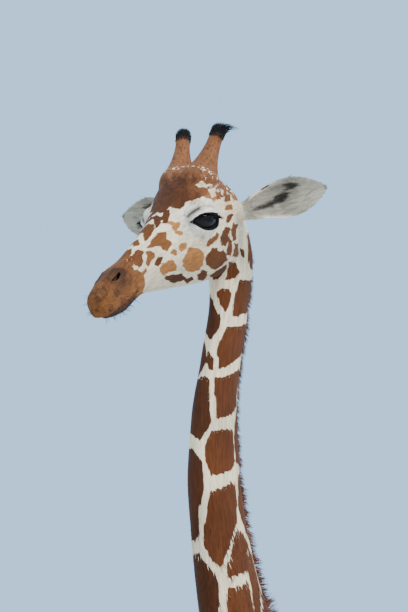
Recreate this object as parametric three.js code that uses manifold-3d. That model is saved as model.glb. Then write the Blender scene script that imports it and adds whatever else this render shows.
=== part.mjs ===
// A standing reticulated giraffe cow at life size: millimetres, +Z up, facing -Y, its left side on +X.
// The body is lofted from stations, joined into one solid and parted again by thin cuts.
import * as THREE from "three";
import { mergeVertices } from "three/addons/utils/BufferGeometryUtils.js";
import Module from "manifold-3d";

const wasm = await Module();
wasm.setup();

// ---------------------------------------------------------------- driving sizes
const CUT = 0.4; // width of the cut between two pieces that meet
const HEAD_AT = [0, -1080, 4150]; // back of the skull at eye level
const HEAD_YAW = -6; // degrees, towards the animal's left
const HEAD_PITCH = 18; // degrees, nose down
const CORONET = { height: 84, slope: -14 }; // where hair gives way to hoof, falling towards the heel
const EYE = { at: [177, 76, 2], radii: [42, 33, 33], turn: 12 };
const LIDS = { at: [177, 92, 2], radii: [50, 34, 20], turn: 12 }; // the opening between the lids
const BROW = { at: [172, 72, 12], radii: [62, 36, 50] };
const EAR_LENGTH = 256;
const EAR_WALL = 7;
const TUFT = { share: 0.86, radius: 23, lick: [30, 18, -8] }; // the hair round an ossicone's tip
const MANE_ROOT = 14; // how deep the mane is set in

// Head stations: x forward from the skull's back, top, bottom, half width, height of the widest point,
// then how square the section is above and below (2 is an ellipse).
const HEAD = [
  [-75, 10, -50, 15, -20, 2.0, 2.0],
  [-55, 68, -105, 52, -20, 2.0, 2.0],
  [-10, 100, -140, 72, -15, 2.0, 2.1],
  [45, 130, -160, 84, -5, 2.1, 2.2],
  [100, 140, -168, 90, 10, 2.5, 2.2],
  [150, 122, -168, 90, 5, 2.7, 2.2],
  [200, 88, -166, 83, -10, 2.5, 2.2],
  [260, 50, -162, 66, -40, 2.3, 2.2],
  [330, 15, -158, 50, -65, 2.1, 2.2],
  [400, -18, -154, 40, -80, 2.1, 2.3],
  [460, -44, -168, 37, -92, 2.1, 2.4],
  [510, -60, -186, 40, -105, 2.2, 2.4],
  [550, -78, -189, 40, -118, 2.2, 2.3],
  [585, -98, -188, 37, -130, 2.2, 2.2],
  [608, -118, -180, 29, -140, 2.2, 2.1],
  [618, -138, -160, 10, -147, 2.0, 2.0],
];
// Trunk stations: distance forward, mid height, half width, height above, depth below, squareness.
const TRUNK = [
  [-805, 2060, 30, 50, 50, 2.0, 2.0],
  [-780, 2060, 100, 160, 160, 2.0, 2.0],
  [-700, 2060, 170, 270, 240, 2.0, 2.0],
  [-560, 2060, 228, 345, 270, 1.9, 2.1],
  [-360, 2070, 258, 395, 320, 1.85, 2.2],
  [-120, 2090, 286, 450, 400, 1.8, 2.2],
  [120, 2100, 296, 535, 455, 1.7, 2.2],
  [330, 2110, 280, 620, 480, 1.6, 2.1],
  [480, 2120, 250, 660, 470, 1.5, 2.0],
  [620, 2140, 220, 600, 400, 1.5, 2.0],
  [740, 2180, 180, 430, 300, 1.6, 2.0],
  [830, 2220, 125, 250, 210, 1.8, 2.0],
  [870, 2240, 30, 60, 60, 2.0, 2.0],
];
// Neck stations from the chest up: place y, z, half width, depth behind, depth in front, squareness.
const NECK = [
  [0, -400, 1900, 130, 240, 230, 2.0, 2.0],
  [1, -500, 2200, 165, 330, 300, 1.8, 2.0],
  [2, -660, 2550, 137, 275, 265, 1.7, 2.0],
  [3, -840, 2850, 100, 190, 187, 1.8, 2.0],
  [4, -1000, 3100, 77, 132, 130, 1.9, 2.0],
  [5, -1062, 3280, 69, 110, 108, 2.0, 2.0],
  [6, -1091, 3440, 65, 98, 100, 2.0, 2.0],
  [7, -1088, 3580, 60, 83, 86, 2.0, 2.0],
  [8, -1055, 3740, 53, 70, 73, 2.0, 2.0],
  [9, -1012, 3900, 52, 70, 70, 2.0, 2.0],
  [10, -1000, 4030, 60, 82, 80, 2.0, 2.0],
  [11, -1045, 4140, 60, 78, 85, 2.0, 2.0],
];
// Leg stations downwards: drop below the origin, place x, y, half width, depth in front, depth behind.
const FORELEG = [
  [-2400, 100, -420, 50, 80, 100, 2.0, 2.0],
  [-2300, 125, -440, 75, 130, 150, 2.0, 2.0],
  [-2080, 155, -500, 95, 170, 190, 2.0, 2.0],
  [-1860, 172, -520, 98, 140, 185, 2.0, 2.0],
  [-1660, 174, -508, 86, 104, 145, 2.0, 2.0],
  [-1500, 168, -500, 69, 80, 96, 2.0, 2.0],
  [-1300, 160, -505, 54, 62, 69, 2.0, 2.0],
  [-1100, 155, -510, 46, 53, 55, 2.0, 2.0],
  [-1000, 153, -515, 52, 59, 56, 2.2, 2.2],
  [-930, 152, -515, 61, 68, 58, 2.4, 2.4],
  [-860, 152, -512, 52, 58, 56, 2.2, 2.2],
  [-770, 150, -505, 40, 42, 47, 2.0, 2.0],
  [-550, 150, -500, 36, 36, 42, 2.0, 2.0],
  [-320, 150, -500, 38, 38, 47, 2.0, 2.0],
  [-235, 150, -505, 50, 48, 62, 2.1, 2.1],
  [-165, 150, -522, 48, 52, 52, 2.0, 2.0],
  [-115, 150, -540, 58, 66, 60, 2.2, 2.2],
  [-60, 150, -550, 64, 84, 66, 2.2, 2.2],
];
const HINDLEG = [
  [-2300, 90, 450, 50, 100, 120, 2.0, 2.0],
  [-2180, 120, 450, 90, 190, 190, 2.0, 2.0],
  [-2000, 150, 450, 118, 250, 240, 2.0, 2.0],
  [-1800, 165, 430, 118, 235, 250, 2.0, 2.0],
  [-1620, 165, 418, 98, 175, 208, 2.0, 2.0],
  [-1420, 155, 468, 71, 115, 132, 2.0, 2.0],
  [-1220, 148, 535, 53, 73, 79, 2.0, 2.0],
  [-1080, 143, 585, 46, 56, 72, 2.0, 2.0],
  [-1000, 140, 605, 52, 63, 88, 2.2, 2.2],
  [-940, 140, 608, 56, 66, 70, 2.3, 2.2],
  [-850, 140, 600, 46, 52, 54, 2.1, 2.1],
  [-720, 140, 590, 39, 40, 45, 2.0, 2.0],
  [-500, 140, 575, 36, 36, 42, 2.0, 2.0],
  [-300, 140, 562, 38, 38, 46, 2.0, 2.0],
  [-225, 140, 552, 50, 48, 60, 2.1, 2.1],
  [-160, 140, 534, 47, 51, 52, 2.0, 2.0],
  [-115, 140, 516, 56, 64, 58, 2.2, 2.2],
  [-60, 140, 504, 61, 80, 63, 2.2, 2.2],
];
// Tail stations: place y, z, half width, depth towards the body, depth away from it.
const TAIL = [
  [0, 690, 2240, 30, 34, 34, 2, 2],
  [1, 790, 2225, 27, 30, 28, 2, 2],
  [2, 836, 2110, 22, 23, 23, 2, 2],
  [3, 850, 1900, 18, 18, 18, 2, 2],
  [4, 856, 1600, 14, 14, 14, 2, 2],
  [5, 858, 1400, 13, 13, 13, 2, 2],
  [6, 859, 1330, 27, 28, 28, 2, 2],
  [7, 860, 1200, 36, 38, 38, 2, 2],
  [8, 860, 1050, 31, 33, 33, 2, 2],
  [9, 860, 920, 15, 16, 16, 2, 2],
  [10, 860, 870, 4, 4, 4, 2, 2],
];
// Ossicone: place of its root and tip in the head, and the radius at each share of its length.
const HORN_ROOT = [92, 34, 103];
const HORN_TIP = [-6, 60, 229];
const HORN = [
  [-0.35, 52],
  [0, 60],
  [0.25, 40],
  [0.5, 27],
  [0.75, 21.5],
  [0.9, 21],
  [0.97, 15],
  [1, 5],
];
const HORN_CUT = 0.3; // shares of the length where the ossicone and its tuft begin
const TUFT_CUT = 0.78;
// Ear: share of the length, half width, half of the angle that its cup wraps round.
const EAR = [
  [-0.12, 24, 150],
  [0, 24, 150],
  [0.08, 26, 130],
  [0.2, 33, 95],
  [0.35, 44, 70],
  [0.5, 53, 55],
  [0.62, 55, 48],
  [0.75, 47, 42],
  [0.88, 30, 36],
  [0.96, 14, 32],
  [1, 4, 30],
];
const EAR_CUT = 0.1;
const EARS = {
  left: { root: [15, 75, -5], axis: [0.835, 0.482, 0.285], face: [0.406, -0.903, 0.026] },
  right: { root: [15, -75, -5], axis: [-0.962, 0.213, 0.168], face: [-0.225, -0.812, 0.096] },
};
// Mane: neck station, height above the neck, half thickness.
const MANE = [
  [2.25, 10, 8],
  [2.7, 66, 15],
  [4, 82, 17],
  [6, 64, 16],
  [8, 50, 14],
  [10, 44, 13],
  [10.7, 34, 11],
  [10.95, 10, 7],
];
// Claw: height, then its toe and heel, its inner and outer side, all from the foot's middle.
const CLAW = [
  [0, -118, 84, 4, 74],
  [12, -117, 86, 3.5, 76],
  [45, -104, 80, 3.5, 71],
  [80, -86, 72, 3.5, 65],
  [115, -70, 64, 3.5, 60],
];
const FEET = {
  front: { x: 150, y: -550, size: 1 },
  hind: { x: 140, y: 505, size: 0.95 },
};
// Thin cuts that part the flesh: middle in y and z, tilt about x, extent across and along.
const BODY_CUTS = [
  { y: -1005, z: 4042, tilt: 49, across: 300, along: 420 }, // head from neck
  { y: -1046, z: 3770, tilt: -14, across: 240, along: 300 },
  { y: -1000, z: 3100, tilt: 26, across: 320, along: 480 },
  { y: -640, z: 2580, tilt: 42, across: 700, along: 1200 }, // neck from trunk
  { y: 815, z: 2200, tilt: 55, across: 160, along: 160 }, // tail from trunk
  { y: 858, z: 1400, tilt: 0, across: 160, along: 160 }, // tassel from tail
];
const LEG_CUTS = [
  { x: 170, y: -510, z: 1600, across: 230, along: 420 },
  { x: 152, y: -515, z: 935, across: 180, along: 220 },
  { x: 165, y: 425, z: 1600, across: 250, along: 480 },
  { x: 142, y: 608, z: 960, across: 180, along: 240 },
];
const MUZZLE_CUT = 440; // forward in the head

// ---------------------------------------------------------------- shape tools
const rad = THREE.MathUtils.degToRad;
const vec = (...v) => new THREE.Vector3(...v);
const X_AXIS = vec(1, 0, 0);

// A smooth curve through the rows of a table whose first column is the knot; it never overshoots.
function along(table, t) {
  const last = table.length - 1;
  const knot = (k) => table[k][0];
  let i = 0;
  while (i < last - 1 && t > knot(i + 1)) i++;
  const rise = (k, c) => (table[k + 1][c] - table[k][c]) / (knot(k + 1) - knot(k));
  const slope = (k, c) => {
    if (k === 0) return rise(0, c);
    if (k === last) return rise(last - 1, c);
    const before = rise(k - 1, c);
    const after = rise(k, c);
    if (before * after <= 0) return 0;
    const short = knot(k) - knot(k - 1);
    const long = knot(k + 1) - knot(k);
    return (3 * (short + long)) / ((2 * long + short) / before + (long + 2 * short) / after);
  };
  const h = knot(i + 1) - knot(i);
  const u = (Math.min(Math.max(t, knot(0)), knot(last)) - knot(i)) / h;
  return table[i].slice(1).map((start, n) => {
    const end = table[i + 1][n + 1];
    const blend = u * u * (3 - 2 * u);
    const lead = u * (1 - u) ** 2 * h * slope(i, n + 1);
    const trail = u * u * (u - 1) * h * slope(i + 1, n + 1);
    return start * (1 - blend) + end * blend + lead + trail;
  });
}

const steps = (from, to, count) =>
  Array.from({ length: count + 1 }, (_, i) => from + ((to - from) * i) / count);

// Offsets round a section, across and up, from its sizes and its squareness above and below.
function oval(count, [half, above, below, squareAbove, squareBelow]) {
  return steps(0, 2 * Math.PI, count)
    .slice(0, count)
    .map((angle) => {
      const [c, s] = [Math.cos(angle), Math.sin(angle)];
      const power = 2 / (s >= 0 ? squareAbove : squareBelow);
      const size = s >= 0 ? above : below;
      return [half * Math.sign(c) * Math.abs(c) ** power, size * Math.sign(s) * Math.abs(s) ** power];
    });
}

// Joins rings of points into a closed body. A ring is closed by a fan, or by a strip where it doubles back.
function bodyOf(rings, doubled = false) {
  const count = rings[0].length;
  const points = rings.flat();
  const faces = [];
  for (let r = 0; r + 1 < rings.length; r++) {
    for (let i = 0; i < count; i++) {
      const j = (i + 1) % count;
      const [a, b, c, d] = [r * count + i, r * count + j, (r + 1) * count + j, (r + 1) * count + i];
      faces.push(a, b, c, a, c, d);
    }
  }
  const closeEnd = (ring, start, flip) => {
    const push = (a, b, c) => faces.push(...(flip ? [a, c, b] : [a, b, c]));
    if (doubled) {
      for (let i = 0; i < count / 2 - 1; i++) {
        const [a, b] = [start + i, start + i + 1];
        const [c, d] = [start + count - 2 - i, start + count - 1 - i];
        push(a, b, c);
        push(a, c, d);
      }
      return;
    }
    const middle = points.push(ring.reduce((sum, p) => sum.add(p), vec()).divideScalar(count)) - 1;
    for (let i = 0; i < count; i++) push(middle, start + i, start + ((i + 1) % count));
  };
  closeEnd(rings[0], 0, true);
  closeEnd(rings.at(-1), (rings.length - 1) * count, false);
  const geometry = new THREE.BufferGeometry().setFromPoints(points);
  geometry.setIndex(faces);
  return geometry;
}

// A closed geometry as a solid with its faces turned outwards.
function solid(geometry, matrix = new THREE.Matrix4()) {
  const bare = geometry.clone();
  bare.deleteAttribute("normal");
  bare.deleteAttribute("uv");
  const merged = mergeVertices(bare.applyMatrix4(matrix), 1e-3);
  const vertProperties = merged.attributes.position.array;
  const corners = Array.from(merged.index.array);
  const turned = corners.map((_, i) => corners[i - (i % 3) + [0, 2, 1][i % 3]]);
  const [made, reversed] = [corners, turned].map(
    (list) => new wasm.Manifold(new wasm.Mesh({ numProp: 3, vertProperties, triVerts: Uint32Array.from(list) })),
  );
  return made.volume() > 0 ? made : reversed;
}

// A body of oval sections along a path in a plane of constant x. Rows give the middle, the section and,
// where the section isn't square to the path, the direction that counts as up.
function loft(rows, count) {
  const rings = rows.map((row, i) => {
    const ahead = rows[Math.min(i + 1, rows.length - 1)].middle;
    const behind = rows[Math.max(i - 1, 0)].middle;
    const up = row.up ?? ahead.clone().sub(behind).setX(0).normalize().cross(X_AXIS);
    return oval(count, row.section).map(([across, rise]) =>
      row.middle.clone().addScaledVector(X_AXIS, across).addScaledVector(up, rise),
    );
  });
  return solid(bodyOf(rings));
}

const join = (pieces) => pieces.reduce((sum, piece) => sum.add(piece));

// The head's own frame: x forward, y to the animal's left, z up.
const headFrame = (() => {
  const [yaw, pitch] = [rad(HEAD_YAW), rad(HEAD_PITCH)];
  const forward = vec(Math.sin(yaw) * Math.cos(pitch), -Math.cos(yaw) * Math.cos(pitch), -Math.sin(pitch));
  const up = vec(Math.sin(yaw) * Math.sin(pitch), -Math.cos(yaw) * Math.sin(pitch), Math.cos(pitch));
  const left = up.clone().cross(forward);
  return new THREE.Matrix4().makeBasis(forward, left, up).setPosition(...HEAD_AT);
})();
const inHead = ([x, y, z], side = 1) => vec(x, side * y, z).applyMatrix4(headFrame);

// An ellipsoid in the head, turned about the head's upright axis.
function lump({ at: [x, y, z], radii, turn = 0 }, side, grow = 0, detail = [14, 8]) {
  const matrix = headFrame
    .clone()
    .multiply(new THREE.Matrix4().makeTranslation(x, side * y, z))
    .multiply(new THREE.Matrix4().makeRotationZ(-side * rad(turn)))
    .multiply(new THREE.Matrix4().makeScale(...radii.map((r) => r + grow)));
  return solid(new THREE.SphereGeometry(1, ...detail), matrix);
}

// A block of the cut's thickness, square to a direction.
function blade(middle, across, alongIt, normal) {
  const turn = new THREE.Quaternion().setFromUnitVectors(vec(0, 0, 1), normal.clone().normalize());
  const matrix = new THREE.Matrix4().compose(middle, turn, vec(1, 1, 1));
  return solid(new THREE.BoxGeometry(across, alongIt, CUT), matrix);
}

// ---------------------------------------------------------------- flesh
const trunkRows = () =>
  steps(0, Math.PI, 16).map((angle) => {
    const forward = TRUNK[0][0] + ((TRUNK.at(-1)[0] - TRUNK[0][0]) * (1 - Math.cos(angle))) / 2;
    const [z, ...section] = along(TRUNK, forward);
    return { middle: vec(0, -forward, z), section, up: vec(0, 0, 1) };
  });

const pathRows = (table, count) =>
  steps(0, table.at(-1)[0], count).map((t) => {
    const [y, z, ...section] = along(table, t);
    return { middle: vec(0, y, z), section };
  });

const legRows = (table, side) =>
  steps(table[0][0], table.at(-1)[0], 20).map((drop) => {
    const [x, y, ...section] = along(table, drop);
    return { middle: vec(side * x, y, -drop), section, up: vec(0, -1, 0) };
  });

function skull() {
  const rings = steps(0, 1, 15).map((t) => {
    const x = HEAD[0][0] + (HEAD.at(-1)[0] - HEAD[0][0]) * (t + 0.06 * Math.sin(2 * Math.PI * (t - 0.5)));
    const [top, bottom, half, widest, ...square] = along(HEAD, x);
    return oval(16, [half, top - widest, widest - bottom, ...square]).map(([y, z]) =>
      inHead([x, y, widest + z]),
    );
  });
  return solid(bodyOf(rings));
}

const hornPoint = (share, side) =>
  inHead(HORN_ROOT, side).lerp(inHead(HORN_TIP, side), share);

function ossicone(side) {
  const axis = hornPoint(1, side).sub(hornPoint(0, side)).normalize();
  const across = axis.clone().cross(X_AXIS).normalize();
  const other = axis.clone().cross(across);
  const rings = [-0.35, 0, 0.14, 0.3, 0.55, 0.85, 1].map((share) => {
    const [radius] = along(HORN, share);
    return oval(10, [radius, radius, radius, 2, 2]).map(([a, b]) =>
      hornPoint(share, side).addScaledVector(across, a).addScaledVector(other, b),
    );
  });
  return solid(bodyOf(rings));
}

// The brush of hair on an ossicone: a cap, and on the left one a lick swept back and outwards.
function brush(side) {
  const cap = new THREE.Matrix4().makeTranslation(...hornPoint(TUFT.share, side));
  cap.scale(vec(TUFT.radius, TUFT.radius, TUFT.radius));
  const ball = solid(new THREE.SphereGeometry(1, 8, 6), cap);
  if (side < 0) return ball;
  const from = hornPoint(0.93, side);
  const to = from.clone().add(vec(...TUFT.lick));
  const run = to.clone().sub(from);
  const turn = new THREE.Quaternion().setFromUnitVectors(vec(0, 1, 0), run.clone().normalize());
  const middle = from.clone().lerp(to, 0.5);
  const matrix = new THREE.Matrix4().compose(middle, turn, vec(1, 1, 1));
  return ball.add(solid(new THREE.CylinderGeometry(5, 15, run.length(), 8), matrix));
}

// A leaf rolled round its axis: a tube at the root, opening into a shallow cup.
function earlap({ root, axis, face }) {
  const run = vec(...axis).normalize();
  const out = vec(...face);
  out.addScaledVector(run, -out.dot(run)).normalize();
  const across = run.clone().cross(out);
  const origin = inHead(root);
  const rings = [-0.12, -0.02, ...steps(0.09, 0.9, 6), 0.97, 1].map((share) => {
    const [half, wrap] = along(EAR, share);
    const cup = rad(wrap);
    const radius = half / Math.sin(Math.min(cup, Math.PI / 2));
    const edge = (sign) =>
      steps(-1, 1, 6).map((u) => {
        const r = radius + (sign * EAR_WALL) / 2;
        const lift = radius - r * Math.cos(cup * u) - (radius * (1 - Math.cos(cup))) / 2;
        return origin
          .clone()
          .addScaledVector(run, share * EAR_LENGTH)
          .addScaledVector(across, r * Math.sin(cup * u))
          .addScaledVector(out, lift);
      });
    return [...edge(1), ...edge(-1).reverse()];
  });
  return solid(bodyOf(rings, true));
}

// A fin along the top of the neck, set into it; grown for the groove that it stands in.
function mane(grow = 0) {
  const reach = grow / 60; // in neck stations, which are about 150 apart
  const rings = steps(MANE[0][0] - reach, MANE.at(-1)[0] + reach, 11).map((t) => {
    const [height, half] = along(MANE, t);
    const at = (s) => {
      const [y, z, , behind] = along(NECK, s);
      return { middle: vec(0, y, z), behind };
    };
    const run = at(t + 0.02).middle.sub(at(t - 0.02).middle).normalize();
    const up = run.cross(X_AXIS);
    const { middle, behind } = at(t);
    const foot = middle.addScaledVector(up, behind - MANE_ROOT - grow);
    const rise = height + MANE_ROOT + 2 * grow;
    return [
      [half + grow, 0],
      [half + grow, MANE_ROOT + grow],
      [0.55 * half + grow, 0.8 * rise],
      [0, rise],
      [-0.55 * half - grow, 0.8 * rise],
      [-half - grow, MANE_ROOT + grow],
      [-half - grow, 0],
    ].map(([x, h]) => foot.clone().addScaledVector(X_AXIS, x).addScaledVector(up, h));
  });
  return solid(bodyOf(rings));
}

// ---------------------------------------------------------------- feet
// The blocks that lie below the four coronets, each 'lift' higher than the plane itself.
function belowCoronet({ x, y }, side, lift) {
  const matrix = new THREE.Matrix4()
    .makeTranslation(side * x, y, CORONET.height)
    .multiply(new THREE.Matrix4().makeRotationX(rad(CORONET.slope)))
    .multiply(new THREE.Matrix4().makeTranslation(0, 0, lift - 100));
  return solid(new THREE.BoxGeometry(200, 300, 200), matrix);
}

function claw(foot, side, outer) {
  const rings = [0, 12, 60, 115].map((z) => {
    const [toe, heel, inner, outside] = along(CLAW, z).map((v) => v * foot.size);
    const [length, middle] = [(heel - toe) / 2, (heel + toe) / 2];
    return oval(10, [1, 1, 1, 2.1, 2.6]).map(([a, b]) => {
      const point = 1 - 0.32 * Math.max(b, 0) ** 2; // the toe is narrower than the heel
      const x = inner + (outside - inner) * (0.5 + 0.5 * a) * (a > 0 ? point : 1);
      return vec(side * (foot.x + outer * x), foot.y + middle - length * b, z);
    });
  });
  return solid(bodyOf(rings)).intersect(belowCoronet(foot, side, -CUT));
}

// ---------------------------------------------------------------- the whole, parted
const SIDES = [
  ["left", 1],
  ["right", -1],
];

const flesh = () => {
  const pieces = [loft(trunkRows(), 16), loft(pathRows(NECK, 22), 16), skull(), loft(pathRows(TAIL, 16), 7)];
  for (const [name, side] of SIDES) {
    pieces.push(loft(legRows(FORELEG, side), 10), loft(legRows(HINDLEG, side), 10));
    pieces.push(lump(BROW, side, 0, [10, 6]), ossicone(side), brush(side), earlap(EARS[name]));
  }
  return join(pieces);
};

const blades = () => {
  const list = BODY_CUTS.map(({ y, z, tilt, across, along: length }) =>
    blade(vec(0, y, z), across, length, vec(0, -Math.sin(rad(tilt)), Math.cos(rad(tilt)))),
  );
  const forward = inHead([1, 0, 0]).sub(inHead([0, 0, 0]));
  list.push(blade(inHead([MUZZLE_CUT, 0, -100]), 300, 300, forward));
  for (const [name, side] of SIDES) {
    for (const { x, y, z, across, along: length } of LEG_CUTS) {
      list.push(blade(vec(side * x, y, z), across, length, vec(0, 0, 1)));
    }
    const axis = hornPoint(1, side).sub(hornPoint(0, side));
    list.push(blade(hornPoint(HORN_CUT, side), 84, 84, axis), blade(hornPoint(TUFT_CUT, side), 70, 70, axis));
    const { root, axis: run } = EARS[name];
    const base = inHead(root).addScaledVector(vec(...run).normalize(), EAR_CUT * EAR_LENGTH);
    list.push(blade(base, 80, 80, vec(...run)));
  }
  return join(list);
};

const sockets = () => {
  const list = [mane(CUT)];
  for (const [, side] of SIDES) {
    list.push(lump(EYE, side, CUT), lump(LIDS, side, 0));
    for (const foot of Object.values(FEET)) list.push(belowCoronet(foot, side, 0));
  }
  return join(list);
};

// ---------------------------------------------------------------- naming and finish
const FINISH = {
  coat: { color: 0xb98a5c, roughness: 0.85 },
  dark: { color: 0x2a201a, roughness: 0.8 },
  mane: { color: 0x7a4a28, roughness: 0.85 },
  horn: { color: 0x4a4038, roughness: 0.55 },
  eye: { color: 0x120c08, roughness: 0.08 },
};

function meshOf(name, body, finish) {
  const { vertProperties, triVerts } = body.getMesh();
  const geometry = new THREE.BufferGeometry();
  geometry.setAttribute("position", new THREE.BufferAttribute(Float32Array.from(vertProperties), 3));
  geometry.setIndex(Array.from(triVerts));
  geometry.computeVertexNormals();
  const mesh = new THREE.Mesh(geometry, new THREE.MeshStandardMaterial({ ...FINISH[finish], metalness: 0 }));
  mesh.name = name;
  return mesh;
}

// A place inside each piece of flesh, by which the piece is known after the cuts.
function fleshNames() {
  const places = [
    ["head", inHead([150, 0, -20]), "coat"],
    ["muzzle", inHead([530, 0, -130]), "coat"],
    ["neck_upper", vec(0, -1020, 3890), "coat"],
    ["neck_middle", vec(0, -1085, 3440), "coat"],
    ["neck_lower", vec(0, -820, 2850), "coat"],
    ["trunk", vec(0, 0, 2100), "coat"],
    ["tail", vec(0, 850, 1780), "coat"],
    ["tail_tassel", vec(0, 860, 1130), "dark"],
  ];
  for (const [name, side] of SIDES) {
    const { root, axis } = EARS[name];
    places.push(
      [`ossicone_${name}`, hornPoint(0.6, side), "coat"],
      [`ossicone_tuft_${name}`, hornPoint(0.9, side), "dark"],
      [`ear_${name}`, inHead(root).addScaledVector(vec(...axis), 0.55 * EAR_LENGTH), "coat"],
      [`foreleg_upper_${name}`, vec(side * 160, -505, 1270), "coat"],
      [`foreleg_lower_${name}`, vec(side * 150, -505, 500), "coat"],
      [`hindleg_upper_${name}`, vec(side * 152, 515, 1280), "coat"],
      [`hindleg_lower_${name}`, vec(side * 140, 570, 500), "coat"],
    );
  }
  return places;
}

const group = new THREE.Group();
const pieces = flesh().subtract(sockets()).subtract(blades()).decompose();
const middleOf = (piece) => {
  const { min, max } = piece.boundingBox();
  return vec(...min).add(vec(...max)).multiplyScalar(0.5);
};
for (const [name, place, finish] of fleshNames()) {
  const near = (piece) => middleOf(piece).distanceTo(place) - Math.cbrt(piece.volume()) * 0.1;
  const found = pieces.reduce((best, piece) => (near(piece) < near(best) ? piece : best));
  group.add(meshOf(name, found, finish));
}
group.add(meshOf("mane", mane(), "mane"));
for (const [name, side] of SIDES) {
  group.add(meshOf(`eye_${name}`, lump(EYE, side, 0), "eye"));
  for (const [end, foot] of Object.entries(FEET)) {
    group.add(meshOf(`hoof_${end}_${name}_outer`, claw(foot, side, 1), "horn"));
    group.add(meshOf(`hoof_${end}_${name}_inner`, claw(foot, side, -1), "horn"));
  }
}

// The origin is the middle of the whole outline, at floor level.
const outline = new THREE.Box3().setFromObject(group);
group.position.set(-(outline.min.x + outline.max.x) / 2, -(outline.min.y + outline.max.y) / 2, -outline.min.z);
group.updateMatrixWorld(true);

export default group;
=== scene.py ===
"""A standing reticulated giraffe cow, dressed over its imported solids: skin, coat, eyes, mane and hooves.

Everything is in metres. Tables and places are in the body frame, which faces -Y with the animal's
left on +X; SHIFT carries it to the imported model's frame."""

import functools
import itertools

import bpy
import numpy as np
from bpy.props import FloatProperty, FloatVectorProperty, PointerProperty
from mathutils import Matrix, Vector


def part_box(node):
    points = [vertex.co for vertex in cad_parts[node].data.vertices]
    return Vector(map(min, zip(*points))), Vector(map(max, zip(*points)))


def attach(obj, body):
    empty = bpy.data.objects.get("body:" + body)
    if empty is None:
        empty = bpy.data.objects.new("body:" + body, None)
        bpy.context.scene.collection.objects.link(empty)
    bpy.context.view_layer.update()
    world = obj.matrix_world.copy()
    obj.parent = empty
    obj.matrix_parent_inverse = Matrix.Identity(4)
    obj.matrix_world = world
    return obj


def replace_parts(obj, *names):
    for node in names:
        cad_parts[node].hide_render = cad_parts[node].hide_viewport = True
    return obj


bl_info = {
    "name": "Giraffe",
    "version": (1, 0, 0),
    "blender": (4, 5, 0),
    "location": "View3D > Sidebar > Giraffe",
    "description": "Dresses the giraffe's solids with a skin, a coat, eyes, a mane and hooves",
    "category": "Object",
}

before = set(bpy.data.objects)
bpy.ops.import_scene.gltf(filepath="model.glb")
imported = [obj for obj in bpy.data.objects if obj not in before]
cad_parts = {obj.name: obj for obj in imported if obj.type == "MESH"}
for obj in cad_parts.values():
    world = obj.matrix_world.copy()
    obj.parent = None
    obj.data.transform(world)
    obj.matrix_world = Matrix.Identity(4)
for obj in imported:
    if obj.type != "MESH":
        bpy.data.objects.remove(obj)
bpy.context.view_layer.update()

# ---------------------------------------------------------------- the body's sizes
HEAD_AT = np.array([0, -1.08, 4.15])  # back of the skull at eye level
HEAD_YAW, HEAD_PITCH = -6, 18  # degrees, towards the left and nose down
EYE_AT = np.array([0.177, 0.076, 0.002])  # in the head: forward, left, up
EYE_RADII = np.array([0.042, 0.033, 0.033])
EYE_TURN = 12  # degrees, towards the nose
BROW_AT, BROW_RADII = np.array([0.172, 0.072, 0.012]), np.array([0.062, 0.036, 0.05])
HORN_ROOT, HORN_TIP = np.array([0.092, 0.034, 0.103]), np.array([-0.006, 0.06, 0.229])
EAR_LENGTH, EAR_WALL = 0.256, 0.007
EAR_ROOT = np.array([0.015, 0.075, -0.005])
EAR_AIM = {  # the way an ear runs and the way its cup faces, on the left and on the right
    1: ((0.835, 0.482, 0.285), (0.406, -0.903, 0.026)),
    -1: ((-0.962, 0.213, 0.168), (-0.225, -0.812, 0.096)),
}
CORONET = (0.084, -14)  # height, and degrees of fall towards the heel
FEET = [(0.15, -0.55, 1.0), (0.14, 0.505, 0.95)]  # place x, y and size of the fore and hind feet
TAIL_BARE = 6.0  # the tail's flesh ends inside the tassel, at this knot

# Head stations: forward, top, bottom, half width, widest height, squareness above and below.
# Trunk: forward, mid height, half width, height above, depth below, squareness.
# Neck and tail: knot, place y, z, half width, depth behind, in front, squareness.
# Legs: drop, place x, y, half width, depth in front, behind, squareness.
# Ossicone: share of its length, radius. Ear: share, half width, half angle of its cup in degrees.
# Mane: knot of the neck, height, half width. Claw: height, toe, heel, inner side, outer side.
HEAD = [
    (-.075, .01, -.05, .015, -.02, 2, 2),
    (-.055, .068, -.105, .052, -.02, 2, 2),
    (-.01, .1, -.14, .072, -.015, 2, 2.1),
    (.045, .13, -.16, .084, -.005, 2.1, 2.2),
    (.1, .14, -.168, .09, .01, 2.5, 2.2),
    (.15, .122, -.168, .09, .005, 2.7, 2.2),
    (.2, .088, -.166, .083, -.01, 2.5, 2.2),
    (.26, .05, -.162, .066, -.04, 2.3, 2.2),
    (.33, .015, -.158, .05, -.065, 2.1, 2.2),
    (.4, -.018, -.154, .04, -.08, 2.1, 2.3),
    (.46, -.044, -.168, .037, -.092, 2.1, 2.4),
    (.51, -.06, -.186, .04, -.105, 2.2, 2.4),
    (.55, -.078, -.189, .04, -.118, 2.2, 2.3),
    (.585, -.098, -.188, .037, -.13, 2.2, 2.2),
    (.608, -.118, -.18, .029, -.14, 2.2, 2.1),
    (.618, -.138, -.16, .01, -.147, 2, 2),
]
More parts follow.
